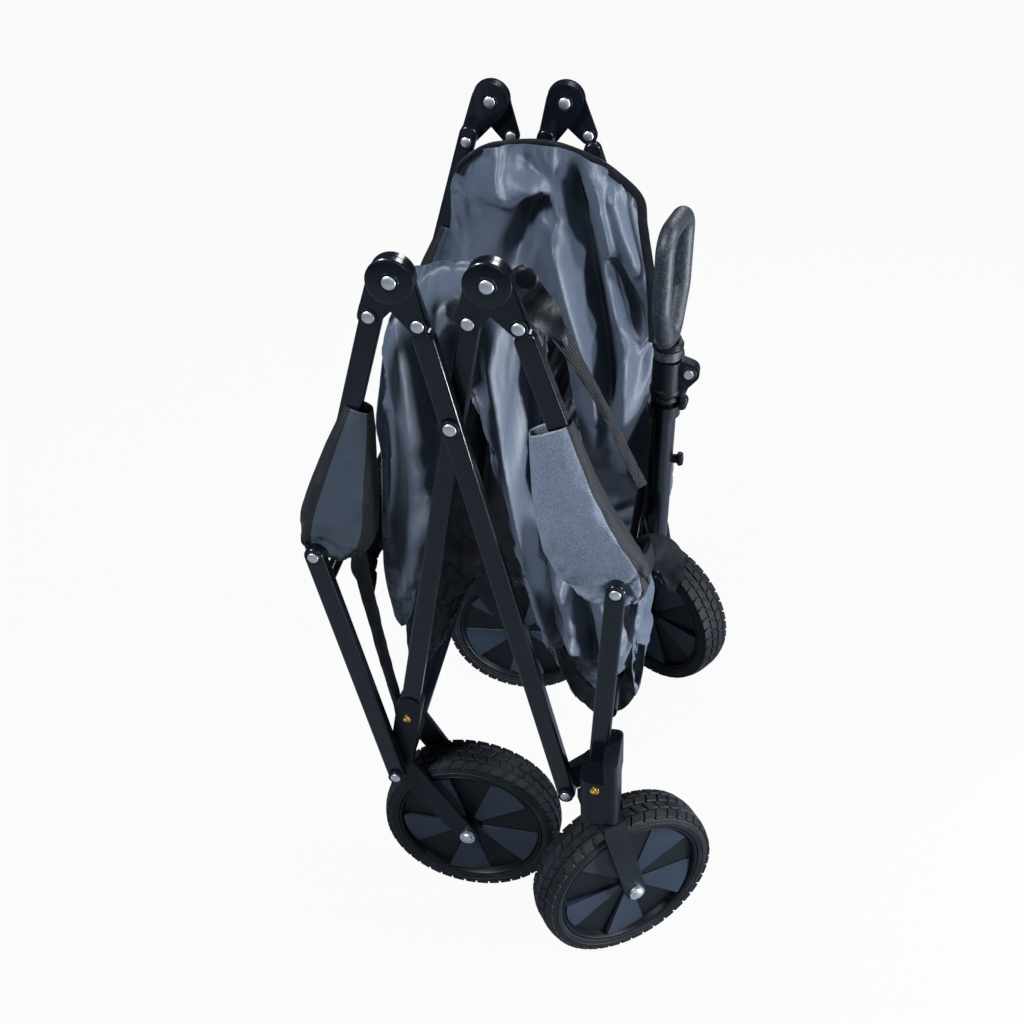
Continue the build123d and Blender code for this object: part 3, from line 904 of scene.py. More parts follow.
@dataclass
class SideFrames:
    """The steel bars and moulded fittings, with their rivets."""

    linkage: Linkage
    rivet_radius: float = 0.0058
    rivet_rise: float = 0.0020
    leg_share: float = 0.92
    small_share: float = 0.9
    bar_head: float = 0.2047
    cap_radius: float = 0.0192
    cap_rise: float = 0.0014
    tab_place: Row = (0.0165, -0.1700, 0.7350)
    brass_up: float = 0.070
    brass_out: float = 0.1870
    front_brass: Row = (0.0762, 0.2468, 0.2540)

    def dress(self) -> None:
        """Put finishes on the CAD nodes."""
        slots = {
            "bar_paint": Finish.PAINT,
            "black_plastic": Finish.MOULDING,
            "axle_steel": Finish.STEEL,
            "wheel_plastic": Finish.PAN,
            "tyre_rubber": Finish.RUBBER,
            "cloth": Finish.SLATE,
            "grip_rubber": Finish.FOAM,
        }
        for entry in frame["record"]["subparts"]:
            node = frame["nodes"][entry["node"]]
            finish = slots[entry["material_slot"]]
            if not node.material_slots:
                node.data.materials.append(finish.material)
            for own in node.material_slots:
                own.material = finish.material

    def dome(self, radius: float) -> BMesh:
        """A rivet head: a low dome with a small step around it."""
        rise, step = self.rivet_rise, 0.0005
        profile = [(0.0, rise)]
        for part in range(1, 7):
            turn = math.radians(15 * part)
            profile.append((radius * math.sin(turn), step + (rise - step) * math.cos(turn)))
        return turned(profile + [(radius, 0.0), (0.0, 0.0)], 28)

    def ring(self, radius: float) -> BMesh:
        """The dark dished washer under a rivet."""
        inner, wide = radius * 0.9, radius * 1.42
        profile = [(inner, 0.0002), (radius * 1.02, 0.0010), (wide * 0.95, 0.0010),
                   (wide, 0.0005), (wide, -0.0003), (inner, -0.0003)]
        return turned(profile, 32, closed=True)

    def rivets(self, body: str, spots: Sequence[tuple[Vector, float, float]]) -> Object:
        """Rivets of one body on both sides of the wagon.

        Args:
            body: the body they ride on.
            spots: place in X and Z, distance from the middle plane (negative for a head
                that faces the middle), and head radius.

        Returns:
            The piece.
        """
        shape = Shape()
        for place, out, radius in spots:
            for stand in both_sides(place, out):
                shape.join(self.ring(radius), stand, 1)
                shape.join(self.dome(radius), stand @ Matrix.Translation((0, 0, 0.0002)), 0)
        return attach(shape.finish(f"rivets_{body}", (Finish.STEEL, Finish.MOULDING), 50), body)

    def cap(self, name: str, body: str, hub: Vector) -> Object:
        """The round raised cap around a hub's rivet, on both sides."""
        wide, rise = self.cap_radius, self.cap_rise
        profile = [(0.0, rise), (wide - 0.0022, rise), (wide - 0.0008, rise - 0.0004),
                   (wide, rise - 0.0012), (wide, -0.0004), (0.0, -0.0004)]
        return turnings(name, body, profile, 64, both_sides(hub, self.linkage.cheek), Finish.PAINT)

    def eyelet(self, name: str, body: str, place: Vector, out: float) -> Object:
        """Brass tubular rivets on both sides, with a hollow in the head."""
        profile = points(2, 0, 0.4, 1.6, 0.6, 2.1, 2.0, 3.2, 2.5, 4.2, 1.8, 4.5, 0, 0, 0)
        return turnings(name, body, profile, 26, both_sides(place, out), Finish.BRASS)

    def build(self) -> list[Object]:
        """All the rivets, caps and eyelets."""
        link = self.linkage
        size = self.rivet_radius
        leg, small = size * self.leg_share, size * self.small_share
        seat = link.cheek + self.cap_rise
        back = -(link.layer_middle + 0.007)
        diagonal = link.leg_rivet(link.rear_hub, link.front_corner, 1)
        front_rail = link.leg_rivet(link.front_hub, link.front_rail, 1)
        rear_rail = link.leg_rivet(link.rear_hub, link.rear_rail, -1)
        inner = link.leg_rivet(link.front_hub, link.rear_corner, -1)
        spots = {
            "outer_diagonals": [
                (link.rear_hub, seat, size), (diagonal, link.cheek, leg),
                (diagonal, back, small),
            ],
            "front_rails": [
                (link.front_hub, seat, size), (front_rail, link.cheek, leg),
                (front_rail, back, small),
            ],
            "rear_rails": [
                (rear_rail, link.tongue, leg), (rear_rail, -link.layer_inner, small),
                (link.rear_hub, -link.layer_middle, size),
            ],
            "inner_diagonals": [
                (inner, link.tongue, leg), (inner, -link.layer_inner, small),
                (link.front_hub, -link.layer_middle, size), (link.crossing, self.bar_head, size),
                (link.rear_corner, self.bar_head, small),
            ],
            "rear_frame": [(link.rear_rail, link.layer_middle + link.bar_depth, small)],
            "front_frame": [
                (link.front_rail, link.layer_outer + link.bar_depth, small),
                (link.front_corner, self.bar_head, small),
            ],
        }
        pieces = [self.rivets(body, row) for body, row in spots.items()]
        tab = points(2, 0, 1.2, 8.0, 1.2, 9.2, 0, 8.0, -1.2, 0, -1.2)
        stand = facing(Vector(self.tab_place), Vector((0, -1, 0)))
        pieces.append(turnings("tab_front_hub", "front_rails", tab, 40, [stand], Finish.MOULDING))
        pieces.append(self.cap("cap_rear_hub", "outer_diagonals", link.rear_hub))
        pieces.append(self.cap("cap_front_hub", "front_rails", link.front_hub))
        along = (link.crossing - link.rear_corner).normalized()
        rear = link.rear_corner + along * self.brass_up
        pieces.append(self.eyelet("brass_rear", "inner_diagonals", rear, self.brass_out))
        front = Vector(self.front_brass)
        pieces.append(self.eyelet("brass_front", "front_frame", front, front.y))
        return pieces


# --- wheels -------------------------------------------------------------------------------------


@dataclass
class RoadWheel:
    """One wheel: its tyre with tread blocks, its dished disc and the blades on it."""

    place: str
    centre: Vector
    outward: Vector
    radius: float = 0.0943
    half_width: float = 0.021
    blocks_round: int = 42
    block_size: Row = (0.0123, 0.0088, 0.0056)
    shoulder_size: Row = (0.0125, 0.0096, 0.0056)
    shoulder_short: float = 0.0112
    shoulder_tilt: float = 0.30
    block_lean: float = math.radians(24)
    blade_count: int = 5
    blade_reach: float = 0.0722
    blade_floor: float = 0.0132
    blade_rise: float = 0.0050
    caster_cap: float = 0.0322
    fork_cap: float = 0.0344

    def __post_init__(self) -> None:
        """Set the wheel's place, with Z along its axle."""
        self.stand = facing(self.centre, self.outward, Vector((0, 0, 1)))

    def ridden(self, shape: Shape, kind: str, finish: Finish, crisp: float = 40) -> Object:
        """Close a piece that turns with the wheel."""
        piece = shape.finish(f"{kind}_{self.place}", (finish,), crisp)
        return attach(piece, f"wheel_body_{self.place}")

    def tread_block(self, across: float, odd_row: bool, count: int) -> tuple[BMesh, Matrix]:
        """One tread block and its place over the wheel's middle.

        Args:
            across: its row's distance from the middle.
            odd_row: whether its row leans the other way.
            count: its number in the row.

        Returns:
            The block and its place before it is turned around the wheel.
        """
        outer = abs(across) > 0.01
        size = Vector(self.shoulder_size if outer else self.block_size)
        if outer and count % 2 == 0:
            size.x = self.shoulder_short
        bit = block(size, 0.0009)
        lean = math.tan(self.block_lean if odd_row else -self.block_lean)
        for vert in bit.verts:
            vert.co.x += vert.co.y * lean
        lift = self.radius - 0.0028 - (0.0016 if outer else 0.0)
        tilt = Matrix.Rotation(math.copysign(self.shoulder_tilt, across) if outer else 0.0, 4, "X")
        upright = Matrix(((0, 0, 1, lift), (1, 0, 0, 0), (0, 1, 0, across), (0, 0, 0, 1)))
        return bit, upright @ tilt.inverted()

    def tyre(self) -> Object:
        """Tyre with a raised bead line and staggered tread blocks."""
        half = self.half_width
        side = [(r / 1000, half + h / 1000) for r, h in (
            (77.4, -4.5), (77.8, -1.6), (79.6, -0.4), (82.2, -0.3), (82.8, 0.4), (83.7, 0.4),
            (84.3, -0.4), (86.8, -0.6), (89.3, -2.0), (91.4, -4.5), (92.3, -8.5), (92.7, -15.0),
        )]
        shape = Shape()
        shape.join(turned(side + [(r, -h) for r, h in reversed(side)], 96, closed=True))
        pitch = 2 * math.pi / self.blocks_round
        for row, across in enumerate((-0.0152, -0.0051, 0.0051, 0.0152)):
            shift = 0.5 * (row % 2)
            for count in range(self.blocks_round):
                bit, place = self.tread_block(across, row % 2 == 1, count)
                shape.join(bit, Matrix.Rotation(pitch * (count + shift), 4, "Z") @ place)
        bmesh.ops.transform(shape.bm, matrix=self.stand, verts=shape.bm.verts)
        piece = self.ridden(shape, "tread", Finish.RUBBER)
        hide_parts(f"tyre_{self.place}")
        return piece

    def disc(self) -> Object:
        """Rim ring, dished disc and hub boss in one turned shape."""
        floor = self.blade_floor
        side = [(0.0, 0.0190), (0.0085, 0.0190), (0.0105, 0.0178), (0.0115, floor),
                (0.0728, floor - 0.0004), (0.0736, 0.0150), (0.0742, 0.0182), (0.0752, 0.0194),
                (0.0766, 0.0196), (0.0773, 0.0186)]
        shape = Shape()
        shape.join(turned(side + [(r, -h) for r, h in reversed(side)], 96), self.stand)
        piece = self.ridden(shape, "disc", Finish.PAN)
        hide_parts(f"wheel_{self.place}")
        return piece

    def blade(self) -> BMesh:
        """One wedge of the disc, high at one edge and low at the other."""
        bm = bmesh.new()
        bmesh.ops.create_circle(bm, cap_ends=True, segments=120, radius=self.blade_reach)
        sector = math.pi / self.blade_count
        for normal in (Vector((0, -1, 0)), Vector((-math.sin(sector), math.cos(sector), 0))):
            cut(bm, Vector((0, 0, 0)), normal)
        grown = bmesh.ops.extrude_face_region(bm, geom=bm.faces[:])
        for vert in grown["geom"]:
            if isinstance(vert, bmesh.types.BMVert):
                turn = math.atan2(vert.co.y, vert.co.x) if vert.co.length > 0.001 else sector / 2
                far = min(1.0, vert.co.length / self.blade_reach)
                high = (1 - turn / sector) * (0.35 + 0.65 * far)
                vert.co.z += 0.0010 + self.blade_rise * high
        bmesh.ops.recalc_face_normals(bm, faces=bm.faces)
        bevelled(bm, [edge for edge in bm.edges if edge.calc_length() > 0.02], 0.0006, 2)
        return bm

    def blades(self) -> Object:
        """The wedges on both faces of the disc."""
        shape = Shape()
        for face in (1, -1):
            flip = Matrix.Scale(face, 4, (0, 0, 1))
            for count in range(self.blade_count):
                turn = Matrix.Rotation(2 * math.pi * (count + 0.2) / self.blade_count, 4, "Z")
                lift = Matrix.Translation((0, 0, self.blade_floor - 0.0006))
                shape.join(self.blade(), self.stand @ flip @ turn @ lift)
        return self.ridden(shape, "blades", Finish.BLADE, 25)

    def caps(self) -> Object:
        """Bright axle rivets outside the fork, on the body of the fork."""
        front = "front" in self.place
        out = self.caster_cap if front else self.fork_cap
        body = f"caster_{self.place.split('_')[1]}" if front else "inner_diagonals"
        stands = [
            self.stand @ Matrix.Scale(end, 4, (0, 0, 1)) @ Matrix.Translation((0, 0, out))
            for end in ((1, -1) if front else (1,))
        ]
        profile = points(2, 0, 2.8, 3.0, 2.5, 5.0, 1.6, 6.0, 0, 0, 0)
        return turnings(f"axle_cap_{self.place}", body, profile, 28, stands, Finish.STEEL, 50)

    def build(self) -> list[Object]:
        """The whole wheel."""
        return [self.tyre(), self.disc(), self.blades(), self.caps()]


# --- handle --------------------------------------------------------------------------------------


@dataclass
class PullHandle:
    """Collars, latch and knob of the telescopic handle."""

    x: float = 0.105
    tube: float = 0.0094
    stem: float = 0.012
    lean: float = 1.9
    pivot: Row = (0.108, 0.0, 0.318)
    latch_place: Row = (0.021, 0.0060, 0.563)
    knob_height: float = 0.464

    def ridden(self, shape: Shape, name: str, finishes: Sequence[Finish], body: str) -> Object:
        """Lean a piece with the handle and let it ride.

        Args:
            shape: the piece around the upright handle.
            name: its name.
            finishes: its finishes.
            body: the body it rides on.

        Returns:
            The piece.
        """
        pivot = Vector(self.pivot)
        turn = Matrix.Rotation(math.radians(self.lean), 4, "Y")
        lean = Matrix.Translation(pivot) @ turn @ Matrix.Translation(-pivot)
        bmesh.ops.transform(shape.bm, matrix=lean, verts=shape.bm.verts)
        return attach(shape.finish(name, finishes, 45), body)

    def ring(self, name: str, height: float, radius: float, tall: float) -> Object:
        """A rounded collar around the handle's axis."""
        lip = min(0.0015, tall / 3)
        bore = self.tube + 0.0003
        profile = [(bore, 0.0), (radius - lip, 0.0), (radius, lip), (radius, tall - lip),
                   (radius - lip, tall), (bore, tall)]
        shape = Shape()
        shape.join(turned(profile, 40, closed=True), Matrix.Translation((self.x, 0, height)))
        return self.ridden(shape, name, (Finish.MOULDING,), "handle_upper")

    def latch(self) -> Object:
        """The latch's rivet with its washer, on both sides."""
        shape = Shape()
        lobe = mm(0, 4.2, 5.0, 0), mm(0.8, 0.8, 0, 0)
        ahead, out, height = self.latch_place
        for side in (-1, 1):
            stand = facing(Vector((self.x + ahead, side * out, height)), Vector((0, side, 0)))
            for wide, tall, steps, slot in ((1.5, 1.2, 28, 1), (1, 3.2, 24, 0)):
                profile = [(r * wide, h * tall) for r, h in zip(*lobe)]
                shape.join(turned(profile, steps), stand, slot)
        return self.ridden(shape, "latch_rivet", (Finish.STEEL, Finish.MOULDING), "handle_upper")

    def paddles(self) -> Object:
        """The latch's two rounded paddles."""
        shape = Shape()
        for height, length, out in ((0.545, 0.020, 0.0155), (0.529, 0.015, 0.0165)):
            bit = block(Vector((0.011, 0.0125, length)), 0.0030)
            bevelled(bit, bit.edges, 0.0010, 2)
            place = Matrix.Translation((self.x + out, 0, height))
            shape.join(bit, place @ Matrix.Rotation(0.25, 4, "Y"))
        return self.ridden(shape, "latch_paddle", (Finish.MOULDING,), "handle_upper")

    def knob(self) -> Object:
        """The stop knob on the lower part."""
        shape = Shape()
        profile = points(2, 0, 0, 4.5, 0, 4.5, 5.5, 6.8, 6.8, 7.2, 9.0, 5.8, 11.5, 0, 12.2)
        seat = Vector((self.x + self.stem - 0.0015, 0, self.knob_height))
        stand = facing(seat, Vector((1, 0, 0.05)), Vector((0, 0, 1)))
        shape.join(turned(profile, 28), stand)
        return self.ridden(shape, "stop_knob", (Finish.MOULDING,), "handle_lower")

    def build(self) -> list[Object]:
        """All the handle's added pieces."""
        rings = (
            ("collar_grip", 0.5860, 0.0146, 0.0070),
            ("collar_clamp", 0.5380, 0.0146, 0.0080),
            ("collar_upper", 0.5300, 0.0128, 0.0060),
        )
        return [self.ring(*ring) for ring in rings] + [self.latch(), self.paddles(), self.knob()]


# --- cloth ---------------------------------------------------------------------------------------


@dataclass
class SidePanel:
    """One side wall of the cloth tub, bunched between the bars.

    Borders are rows of millimetres, X and Z in turn. A fold's row has its height and its
    widths on the left and right before its line. depth is the wall's place along Y; its
    folds rise towards -Y. height is the known side of its flat size.
    """

    name: str
    depth: float
    swell: float
    top: Row
    left: Row
    right: Row
    bottom: Row
    folds: tuple[Row, ...]
    roll: float = 0.0
    columns: int = 96
    rows: int = 150
    rumple_height: float = 0.0030
    rumple_size: float = 0.045
    finish: Finish = Finish.SLATE
    loose: float = 0.0045
    height: float = 0.42
    hems: Sequence[Object] = ()

    def patch(self) -> Callable[[int, int], Vector]:
        """The surface between the four borders.

        Returns:
            A function from column and row to the place.
        """
        top, bottom, left, right = (
            Track(points(2, *border)).spots(count + 1)
            for border, count in ((self.top, self.columns), (self.bottom, self.columns),
                                  (self.left, self.rows), (self.right, self.rows))
        )
        folds = [Fold(*mm(*row[:3]), points(2, *row[3:])) for row in self.folds]

        def surface(column: int, row: int) -> Vector:
            """Place of one corner of the grid."""
            u, v = column / self.columns, row / self.rows
            flat = (
                (1 - v) * top[column] + v * bottom[column]
                + (1 - u) * left[row] + u * right[row]
                - (1 - u) * (1 - v) * top[0] - u * (1 - v) * top[-1]
                - (1 - u) * v * bottom[0] - u * v * bottom[-1]
            )
            x, z = flat.x, flat.y
            rise = self.swell * math.sin(math.pi * u) * math.sin(math.pi * min(1.0, 0.12 + v))
            rise += sum(fold.lift(x, z) for fold in folds)
            spot = Vector((x, 0.3 * z + self.depth, z * 0.6))
            rise += rumple(spot, self.rumple_size, self.rumple_height)
            rise -= self.roll * (1 - eased(v / 0.12))
            return Vector((x, self.depth - rise, z))

        return surface

    def build(self) -> list[Object]:
        """The wall with its small creases, in two halves."""
        bm = woven(self.columns, self.rows, self.patch())
        Relaxing(self.loose, 0.06, 14).settle(bm)
        made = []
        for half in Spread().halves(self.name, bm, self.finish, CLOTH_THICK):
            tag = half.name.rsplit("_", 1)[1]
            hems = [hem for hem in self.hems if hem.name.endswith(tag)]
            made.append(declared(half, self.height))
        return made


@dataclass
class Ribbon:
    """A flat tape along a line in space, with its widths spread evenly along it."""

    name: str
    path: Track
    widths: Row
    facing: Vector
    finish: Finish = Finish.LINING
    steps: int = 60
    waves: float = 0.0
    thick: float = 0.0016

    def length(self) -> float:
        """Its length along the path."""
        spots = self.path.spots(self.steps + 1)
        return sum((b - a).length for a, b in zip(spots, spots[1:]))

    def flat(self) -> BMesh:
        """The tape as one layer, whose face turns as little as it can from the facing."""
        spots = self.path.spots(self.steps + 1)
        widths = self.widths
        count = len(widths) - 1

        def surface(column: int, row: int) -> Vector:
            """Place of one corner."""
            here = spots[row]
            ahead = spots[min(row + 1, self.steps)] - spots[max(row - 1, 0)]
            across = ahead.cross(self.facing).normalized()
            share = row / self.steps * count
            index = min(int(share), count - 1)
            width = widths[index] + (widths[index + 1] - widths[index]) * (share - index)
            normal = across.cross(ahead).normalized()
            ripple = rumple(here + across * 0.01 * column, 0.02, self.waves)
            bow = 0.0006 * (1 - (column / 2 - 1) ** 2)
            return here + across * width * (column / 4 - 0.5) + normal * (ripple + bow)

        return woven(4, self.steps, surface)

    def ride(self, body: str) -> Object:
        """The tape on one body."""
        shape = Shape()
        shape.join(walled(self.flat(), self.thick))
        bmesh.ops.recalc_face_normals(shape.bm, faces=shape.bm.faces)
        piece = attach(shape.finish(self.name, (self.finish,), 60), body)
        sum(self.widths) / len(self.widths)
        self.length()
        return piece

    def spread(self, sewn: bool = False) -> list[Object]:
        """The tape in two halves, cut at the middle.

        Args:
            sewn: whether it is sewn to another sheet as its hem; then its size is not worked out.

        Returns:
            The halves.
        """
        halves = Spread().halves(self.name, self.flat(), self.finish, self.thick)
        if not sewn:
            for half in halves:
                declared(half, self.length() / len(halves))
        return halves


@dataclass
class RailSleeve:
    """Cloth sleeve around the lower part of one rail, wide at the bottom.

    Each section is the distance from the lower pivot, the widths behind and ahead of the
    rail, and the depths on its inner and outer sides. dark is the half width, as a turn, of
    the dark bands behind and ahead.
    """

    name: str
    body: str
    foot: Vector
    hub: Vector
    middle: float
    sections: tuple[Row, ...]
    dark: Place
    finish: Finish
    side: float
    columns: int = 72
    rows: int = 64

    def section(self, share: float) -> list[float]:
        """The section at a share of the way down."""
        place = share * (len(self.sections) - 1)
        index = min(int(place), len(self.sections) - 2)
        part = eased(place - index) * 0.5 + (place - index) * 0.5
        low, high = self.sections[index], self.sections[index + 1]
        return [a + (b - a) * part for a, b in zip(low, high)]

    def build(self) -> Object:
        """The sleeve, open at the top and bunched at the bottom."""
        rail = (self.hub - self.foot).normalized()
        across = Vector((rail.z, 0, -rail.x))

        def surface(column: int, row: int) -> Vector:
            """Place of one corner."""
            share = row / self.rows
            along, behind, ahead, inner, outer = self.section(share)
            turn = 2 * math.pi * column / self.columns
            c, s = math.cos(turn), math.sin(turn)
            limit = outer if s > 0 else inner
            wide = (ahead if c > 0 else behind) * math.copysign(abs(c) ** 0.85, c)
            deep = limit * math.copysign(abs(s) ** 0.75, s)
            here = self.foot + rail * along + across * wide
            loose = 0.25 + 0.75 * eased((share - 0.1) / 0.5)
            low = eased((share - 0.66) / 0.2)
            puff = rumple(here + Vector((0, s * 0.03, 0)), 0.034, 0.0055 * loose) - 0.0018 * loose
            puff += low * rumple(here + Vector((0.4, s * 0.02, 0)), 0.013, 0.0062)
            deep += math.copysign(puff, s) if abs(s) > 0.15 else 0.0
            deep = max(-inner - 0.003, min(deep, limit + 0.0015 + 0.004 * low))
            return Vector((here.x, self.side * (self.middle + deep), here.z))

        def band(share: float) -> int:
            """Slot of a column: 1 in the dark bands along the sleeve's edges."""
            turn = 2 * math.pi * share
            ahead = min(turn, 2 * math.pi - turn)
            return int(abs(turn - math.pi) < self.dark[0] or ahead < self.dark[1])

        bm = woven(self.columns, self.rows, surface, band)
        bmesh.ops.remove_doubles(bm, verts=bm.verts, dist=1e-5)
        bmesh.ops.recalc_face_normals(bm, faces=bm.faces)
        flat_area = sum(face.calc_area() for face in bm.faces)
        shape = Shape()
        shape.join(walled(bm, 0.0009), slot=None)
        piece = shape.finish(self.name, (self.finish, Finish.WEBBING))
        length = self.sections[0][0] - self.sections[-1][0]
        flat_area / length
        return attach(piece, self.body)


@dataclass
class CrossCloth:
    """A sheet that runs across the wagon, given by its line at each place along Y."""

    name: str
    half: float
    line: Callable[[float], Track]
    rumple_height: float
    finish: Finish = Finish.LINING
    columns: int = 120
    rows: int = 70
    limit: float = 0.003

    def mesh(self) -> BMesh:
        """The sheet with its creases."""
        lines = []
        for column in range(self.columns + 1):
            y = self.half * (2 * column / self.columns - 1)
            lines.append((y, self.line(y).spots(self.rows + 1)))

        def surface(column: int, row: int) -> Vector:
            """Place of one corner."""
            y, spots = lines[column]
            x, z = spots[row]
            here = Vector((x, y, z))
            shift = rumple(here, 0.04, self.rumple_height)
            return here + Vector((shift, 0, 0.3 * shift))

        bm = woven(self.columns, self.rows, surface)
        Relaxing(self.limit, 0.08, 10).settle(bm)
        return bm

    def whole(self, body: str, height: float, hidden: str) -> Object:
        """The sheet as one piece in place of a CAD node.

        Args:
            body: the body it rides on.
            height: the known side of its flat size.
            hidden: the node it replaces.

        Returns:
            The piece.
        """
        shape = Shape()
        shape.join(walled(self.mesh(), CLOTH_THICK))
        piece = declared(shape.finish(self.name, (self.finish,)), height)
        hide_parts(hidden)
        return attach(piece, body)


@dataclass
class Tub:
    """The cloth tub: side walls, floor fold, end walls, sleeves, tapes and straps."""

    linkage: Linkage

    def far_panel(self) -> list[Object]:
        """The left wall, which arches up between the far bars, and its tape."""
        over = points(
            3, -108, 139.5, 692, -102, 139.5, 702, -81, 139.5, 716.5, -61, 139.5, 721.8,
            -32, 139.5, 723.8, -3, 139.5, 720.2, 25, 139.5, 709.4, 46, 139.5, 696.5,
            72, 139.5, 671, 76.5, 139, 642, 86.2, 138, 578, 89.2, 138, 515,
        )
        hems = Ribbon(
            "edge_tape_left", Track(over), mm(3, 7.5, 8, 9, 10), Vector((0, -1, 0)),
            steps=160, waves=0.0006, thick=0.0022,
        ).spread(sewn=True)
        return SidePanel(
            "wall_left",
            depth=0.146,
            swell=0.022,
            top=(-104, 700, -81, 716, -61, 721.5, -32, 723.5, -3, 720, 25, 709, 46, 696, 71, 669),
            left=(-104, 700, -116, 677, -120, 633, -132, 590, -138, 500, -136, 420, -128, 330),
            right=(71, 669, 77, 642, 87, 578, 92, 515, 95, 460, 96, 400, 94, 320, 90, 246),
            bottom=(-128, 330, -90, 300, -40, 290, 20, 262, 60, 246, 90, 246),
            folds=(
                (22, 34, 8, -100, 671, -62, 674, -37, 684, -22, 685, -3, 663, 19, 642),
                (-26, 11, 9, -56, 590, -47, 625, -34, 662, -18, 670, -2, 648),
                (36, 24, 10, -14, 662, -4, 633, 8, 579, 22, 523, 32, 470, 36, 420, 30, 360),
                (-46, 12, 14, 1, 712, 12, 680, 21, 642, 30, 580, 39, 524, 46, 452, 50, 380),
                (22, 9, 9, 22, 712, 32, 676, 41, 624, 49, 570, 55, 520),
                (-34, 9, 10, 36, 625, 54, 590, 69, 551, 76, 500),
                (18, 9, 10, 46, 694, 59, 640, 78, 578),
                (10, 4, 14, -60, 724, -64, 698, -58, 674),
                (-16, 11, 9, -52, 714, -24, 698, -3, 682, 17, 660),
                (30, 14, 10, 70, 548, 64, 478, 60, 402, 69, 323),
                (12, 16, 12, -104, 640, -110, 560, -112, 470, -108, 380),
                (14, 12, 16, -85, 600, -80, 520, -72, 430, -66, 370),
                (-12, 14, 10, -30, 560, -22, 480, -10, 400),
            ),
            hems=hems,
        ).build() + hems

    def near_panel(self) -> list[Object]:
        """The right wall, which hangs in two lobes behind the near bars."""
        return SidePanel(
            "wall_right",
            depth=-0.136,
            swell=0.008,
            roll=0.020,
            top=(-86, 716, -66, 723, -45, 725, -24, 723, -4, 714, 10, 690, 20, 662),
            left=(-86, 716, -106, 676, -118, 640, -130, 574, -130, 532, -137, 450, -139, 400,
                  -134, 352),
            right=(20, 662, 24, 600, 20, 520, 22, 440, 36, 350, 43, 262),
            bottom=(-134, 352, -125, 340, -112, 372, -94, 440, -79, 505, -72, 560, -58, 604,
                    -42, 604, -30, 568, -17, 505, -5, 440, 14, 352, 43, 262),
            folds=(
                (26, 15, 13, -100, 700, -98, 650, -96, 590, -99, 510, -112, 420, -124, 350),
                (-14, 6, 7, -112, 670, -124, 587, -123, 540, -130, 446),
                (-22, 10, 8, -74, 670, -74, 610, -78, 540, -84, 500),
                (26, 11, 8, -12, 700, -19, 650, -14, 585, -6, 515, 4, 430, 22, 350, 38, 280),
                (-20, 7, 10, 6, 690, 6, 620, 8, 530, 16, 430),
                (12, 16, 22, -88, 712, -50, 704, -10, 716),
                (-26, 12, 10, -45, 690, -40, 640, -36, 600),
                (14, 8, 6, -58, 722, -66, 670, -62, 620),
                (10, 5, 7, -30, 715, -46, 680, -56, 640),
            ),
        ).build()

    def lining(self) -> list[Object]:
        """The black inner side of the right wall, which shows between its two lobes."""
        return SidePanel(
            "lining_right",
            depth=-0.108,
            swell=0.004,
            top=(-90, 690, -50, 700, -10, 690, 30, 665),
            left=(-90, 690, -108, 600, -122, 480, -132, 360, -136, 262),
            right=(30, 665, 46, 560, 56, 450, 56, 350, 40, 275),
            bottom=(-136, 262, -112, 268, -88, 318, -64, 372, -36, 392, -6, 375, 16, 330, 40, 275),
            folds=(
                (14, 10, 8, -60, 690, -70, 560, -90, 430, -118, 300),
                (-12, 8, 10, -30, 680, -36, 560, -52, 430),
                (12, 9, 8, -10, 640, -14, 540, -10, 420, 12, 340),
                (-10, 6, 6, -98, 450, -108, 360, -126, 280),
                (9, 5, 6, -80, 390, -96, 330, -112, 275),
                (10, 8, 8, 20, 600, 24, 500, 36, 400),
            ),
            columns=84,
            rows=130,
            rumple_height=0.0055,
            rumple_size=0.022,
            finish=Finish.LINING,
        ).build()

    def pouch(self) -> list[Object]:
        """The slack lower front corner of the right wall, behind the front post."""
        panel = SidePanel(
            "pouch_right",
            depth=-0.157,
            swell=0.010,
            top=(22, 470, 62, 468, 105, 445),
            left=(22, 470, 27, 400, 37, 335),
            right=(105, 445, 108, 383, 101, 322),
            bottom=(37, 335, 53, 306, 70, 292, 88, 296, 101, 322),
            folds=(
                (16, 8, 6, 32, 445, 47, 400, 53, 350),
                (-18, 6, 7, 47, 450, 65, 390, 67, 320),
                (18, 10, 9, 73, 430, 87, 380, 85, 320),
                (12, 6, 5, 34, 385, 55, 360, 69, 330),
            ),
            columns=56,
            rows=84,
            rumple_height=0.0045,
            rumple_size=0.020,
            height=0.16,
        )
        hem = points(3, 32, -157, 345, 41, -162, 322, 55, -166, 302, 72, -168, 289,
                     88, -166, 293, 101, -160, 320, 107, -157, 360)
        return panel.build() + Ribbon(
            "pouch_hem", Track(hem), mm(10, 16, 20, 18, 12), Vector((0, -1, 0.2)),
            steps=70, waves=0.004,
        ).spread()

    def floor_fold(self) -> list[Object]:
        """The floor cloth, drawn up in the middle."""
        half = 0.094

        def line(y: float) -> Track:
            """The floor's line at a place along Y."""
            wave = 0.010 * math.sin(y * 46.0) + 0.006 * math.sin(y * 101.0 + 1.0)
            return Track((
                (-0.112 + wave, 0.335),
                (-0.094, 0.400 + 0.5 * wave),
                (-0.072 + 0.6 * wave, 0.460),
                (-0.050, 0.505 + 0.6 * wave),
                (-0.028 - 0.5 * wave, 0.470),
                (-0.008, 0.420 - 0.5 * wave),
                (0.020 - wave, 0.350),
                (0.044 + 0.5 * wave, 0.318),
            ))

        cloth = CrossCloth("floor_fold", half, line, 0.007, columns=110, limit=0.008)
        halves = Spread().halves(cloth.name, cloth.mesh(), cloth.finish, CLOTH_THICK)
        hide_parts("cloth_floor")
        return [declared(piece, 2 * half) for piece in halves]

    def front_wall(self) -> list[Object]:
        """The front end wall, which hangs ahead of the front bar and dips at the handle."""
        half, reach = 0.167, 0.166

